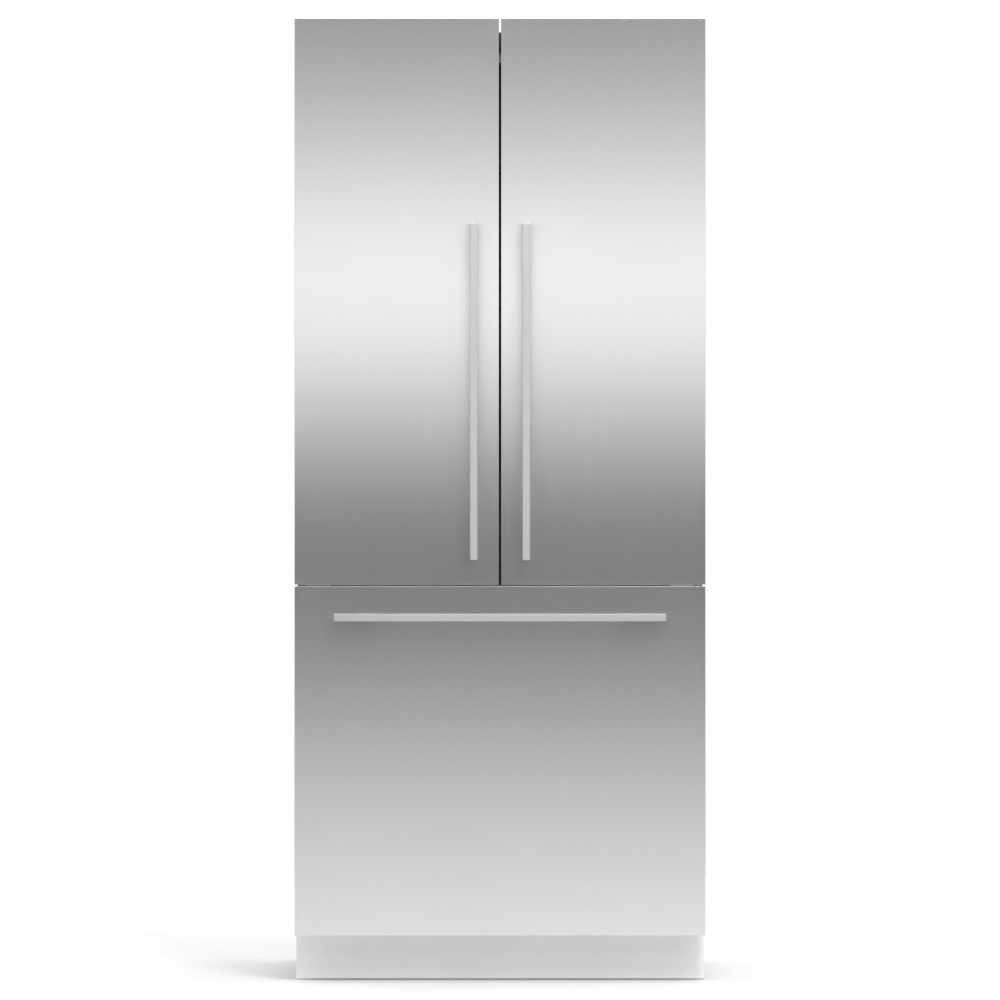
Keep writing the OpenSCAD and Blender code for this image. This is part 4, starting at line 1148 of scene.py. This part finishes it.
class FRIDGE_OT_shelves(bpy.types.Operator):
    """Make the shelf frames, their glass and the touch panel"""

    bl_idname = "fridge.shelves"
    bl_label = "Shelves"

    def execute(self, context):
        lo, hi = span("shelf_glass")
        ladder = span("shelf_ladders")[0]
        count, trim_w, trim_up, trim_down = 4, 0.008, 0.006, 0.008
        pitch = (hi.z - GLASS_T - lo.z) / (count - 1)
        arm_x, arm_drop, arm_half = -(ladder.x + 0.007), 0.040, 0.0015
        frames, glass = bmesh.new(), bmesh.new()
        for i in range(count):
            z = lo.z + i * pitch
            add_box(glass, (lo.x, lo.y, z), (hi.x, hi.y, z + GLASS_T), 0.0009)
            for y in (lo.y - trim_w, hi.y):
                low, high = (lo.x, y, z - trim_down), (hi.x, y + trim_w, z + trim_up)
                add_box(frames, low, high, 0.0028, 4)
            if i:  # the lowest pane lies on the crispers' cover frame, which has no arms
                y = lo.y - 0.002
                arm = ((y, z), (y, z - trim_down), (ladder.y, z - arm_drop), (ladder.y, z))
                for side in (-1, 1):
                    add_outline(frames, arm, side * arm_x - arm_half, side * arm_x + arm_half)
        self.middle_support(frames, lo, hi)
        finish_piece("shelf_surrounds", frames, "cabinet", "shelf_trim", ["shelf_frames"])
        finish_piece("shelf_panes", glass, "cabinet", "shelf_glass", ["shelf_glass"])
        self.touch_panel(context.scene.fridge_shape.touch_dots)
        return {"FINISHED"}

    def middle_support(self, bm, lo, hi):
        """What holds the crispers' cover frame: a support in the middle and a ledge each side."""
        frame_lo, frame_hi = span("shelf_frames")
        crisper_lo, crisper_hi = span("left_crisper")
        half = -crisper_hi.x - 0.004
        front, back = crisper_lo.y + 0.012, hi.y + 0.002
        add_box(bm, (-half, front, frame_lo.z), (half, back, lo.z), 0.003, 3)
        low, high = (lo.y - 0.002, lo.z - 0.008), (back, lo.z)
        add_pair(bm, hi.x - 0.012, frame_hi.x, low, high, FOLD_EDGE)

    def touch_panel(self, dots):
        """A framed dark window with a row of lit dots."""
        lo, hi = span("control_panel")
        frame_w, frame_t, inner = 0.004, 0.006, 0.005
        bm = bmesh.new()
        add_box(bm, (lo.x, lo.y + 0.002, lo.z), hi, 0.0025, 4)
        add_ring(bm, lo, (hi.x, lo.y + frame_t, hi.z), frame_w, Y, corner=0.002)
        finish_piece("touch_panel_body", bm, "cabinet", "shelf_trim", ["control_panel"], edge=0.0006)
        bm = bmesh.new()
        low = (lo.x + inner, lo.y + 0.0006, lo.z + inner)
        high = (hi.x - inner, lo.y + 0.003, hi.z - inner)
        add_box(bm, low, high, 0.0006)
        finish_piece("touch_window", bm, "cabinet", "panel_window", slot="shelf_trim")
        bm = bmesh.new()
        mid = (lo.z + hi.z) / 2
        for i in range(dots):
            x = lo.x + (hi.x - lo.x) * (i + 1) / (dots + 1)
            add_rod(bm, (x, lo.y + 0.0012, mid), (x, lo.y + 0.0003, mid), 0.0022, 20)
        finish_piece("touch_dots", bm, "cabinet", "light_lens")


class FRIDGE_OT_mullion(bpy.types.Operator):
    """Make the flap that closes the gap between the doors"""

    bl_idname = "fridge.mullion"
    bl_label = "Mullion flap"

    def execute(self, context):
        lo, hi = span("mullion")
        width, top = hi.x - lo.x, hi.z - FLAP_PIN_H
        pin_r, pin_back = 0.004, 0.050
        bm = bmesh.new()
        verts = add_box(bm, lo, (hi.x, hi.y, top))
        tall = [e for e in edges_of(verts) if runs_along(e, Z)]
        front = [e for e in tall if abs(e.verts[0].co.y - lo.y) < 1e-5]
        round_edges(bm, front, width * 0.46, 8)
        x, y = (lo.x + hi.x) / 2, lo.y + width / 2 + pin_back
        add_rod(bm, (x, y, top - OVERLAP), (x, y, hi.z), pin_r)
        finish_piece("flap", bm, "mullion", "shelf_trim", ["mullion"], edge=0.0016)
        return {"FINISHED"}


class FRIDGE_PT_panel(bpy.types.Panel):
    """Lists the steps and the sizes that they read"""

    bl_label = "Refrigerator"
    bl_idname = "FRIDGE_PT_panel"
    bl_space_type = "VIEW_3D"
    bl_region_type = "UI"
    bl_category = "Refrigerator"

    def draw(self, context):
        """Lays out the groups of properties, then a button for each step."""
        scene = context.scene
        for group in (scene.fridge_shape, scene.fridge_look, scene.fridge_stage):
            box = self.layout.box()
            for name in group.__annotations__:
                box.prop(group, name)
        for step in STEPS:
            self.layout.operator(step.bl_idname)


CLASSES = (
    FridgeShape,
    FridgeLook,
    FridgeStage,
    FRIDGE_OT_finishes,
    FRIDGE_OT_stage,
    FRIDGE_OT_fronts,
    FRIDGE_OT_handles,
    FRIDGE_OT_toe_kick,
    FRIDGE_OT_cabinet,
    FRIDGE_OT_liners,
    FRIDGE_OT_door_inside,
    FRIDGE_OT_bins,
    FRIDGE_OT_crispers,
    FRIDGE_OT_baskets,
    FRIDGE_OT_shelves,
    FRIDGE_OT_mullion,
    FRIDGE_PT_panel,
)
STEPS = [c for c in CLASSES if issubclass(c, bpy.types.Operator)]


def register():
    """Adds the classes and the scene's properties to Blender."""
    for item in CLASSES:
        bpy.utils.register_class(item)
    bpy.types.Scene.fridge_shape = PointerProperty(type=FridgeShape)
    bpy.types.Scene.fridge_look = PointerProperty(type=FridgeLook)
    bpy.types.Scene.fridge_stage = PointerProperty(type=FridgeStage)


def unregister():
    """Takes them away again."""
    del bpy.types.Scene.fridge_stage
    del bpy.types.Scene.fridge_look
    del bpy.types.Scene.fridge_shape
    for item in reversed(CLASSES):
        bpy.utils.unregister_class(item)


def main():
    register()
    for step in STEPS:
        group, name = step.bl_idname.split(".")
        getattr(getattr(bpy.ops, group), name)()


if __name__ == "__main__":
    main()
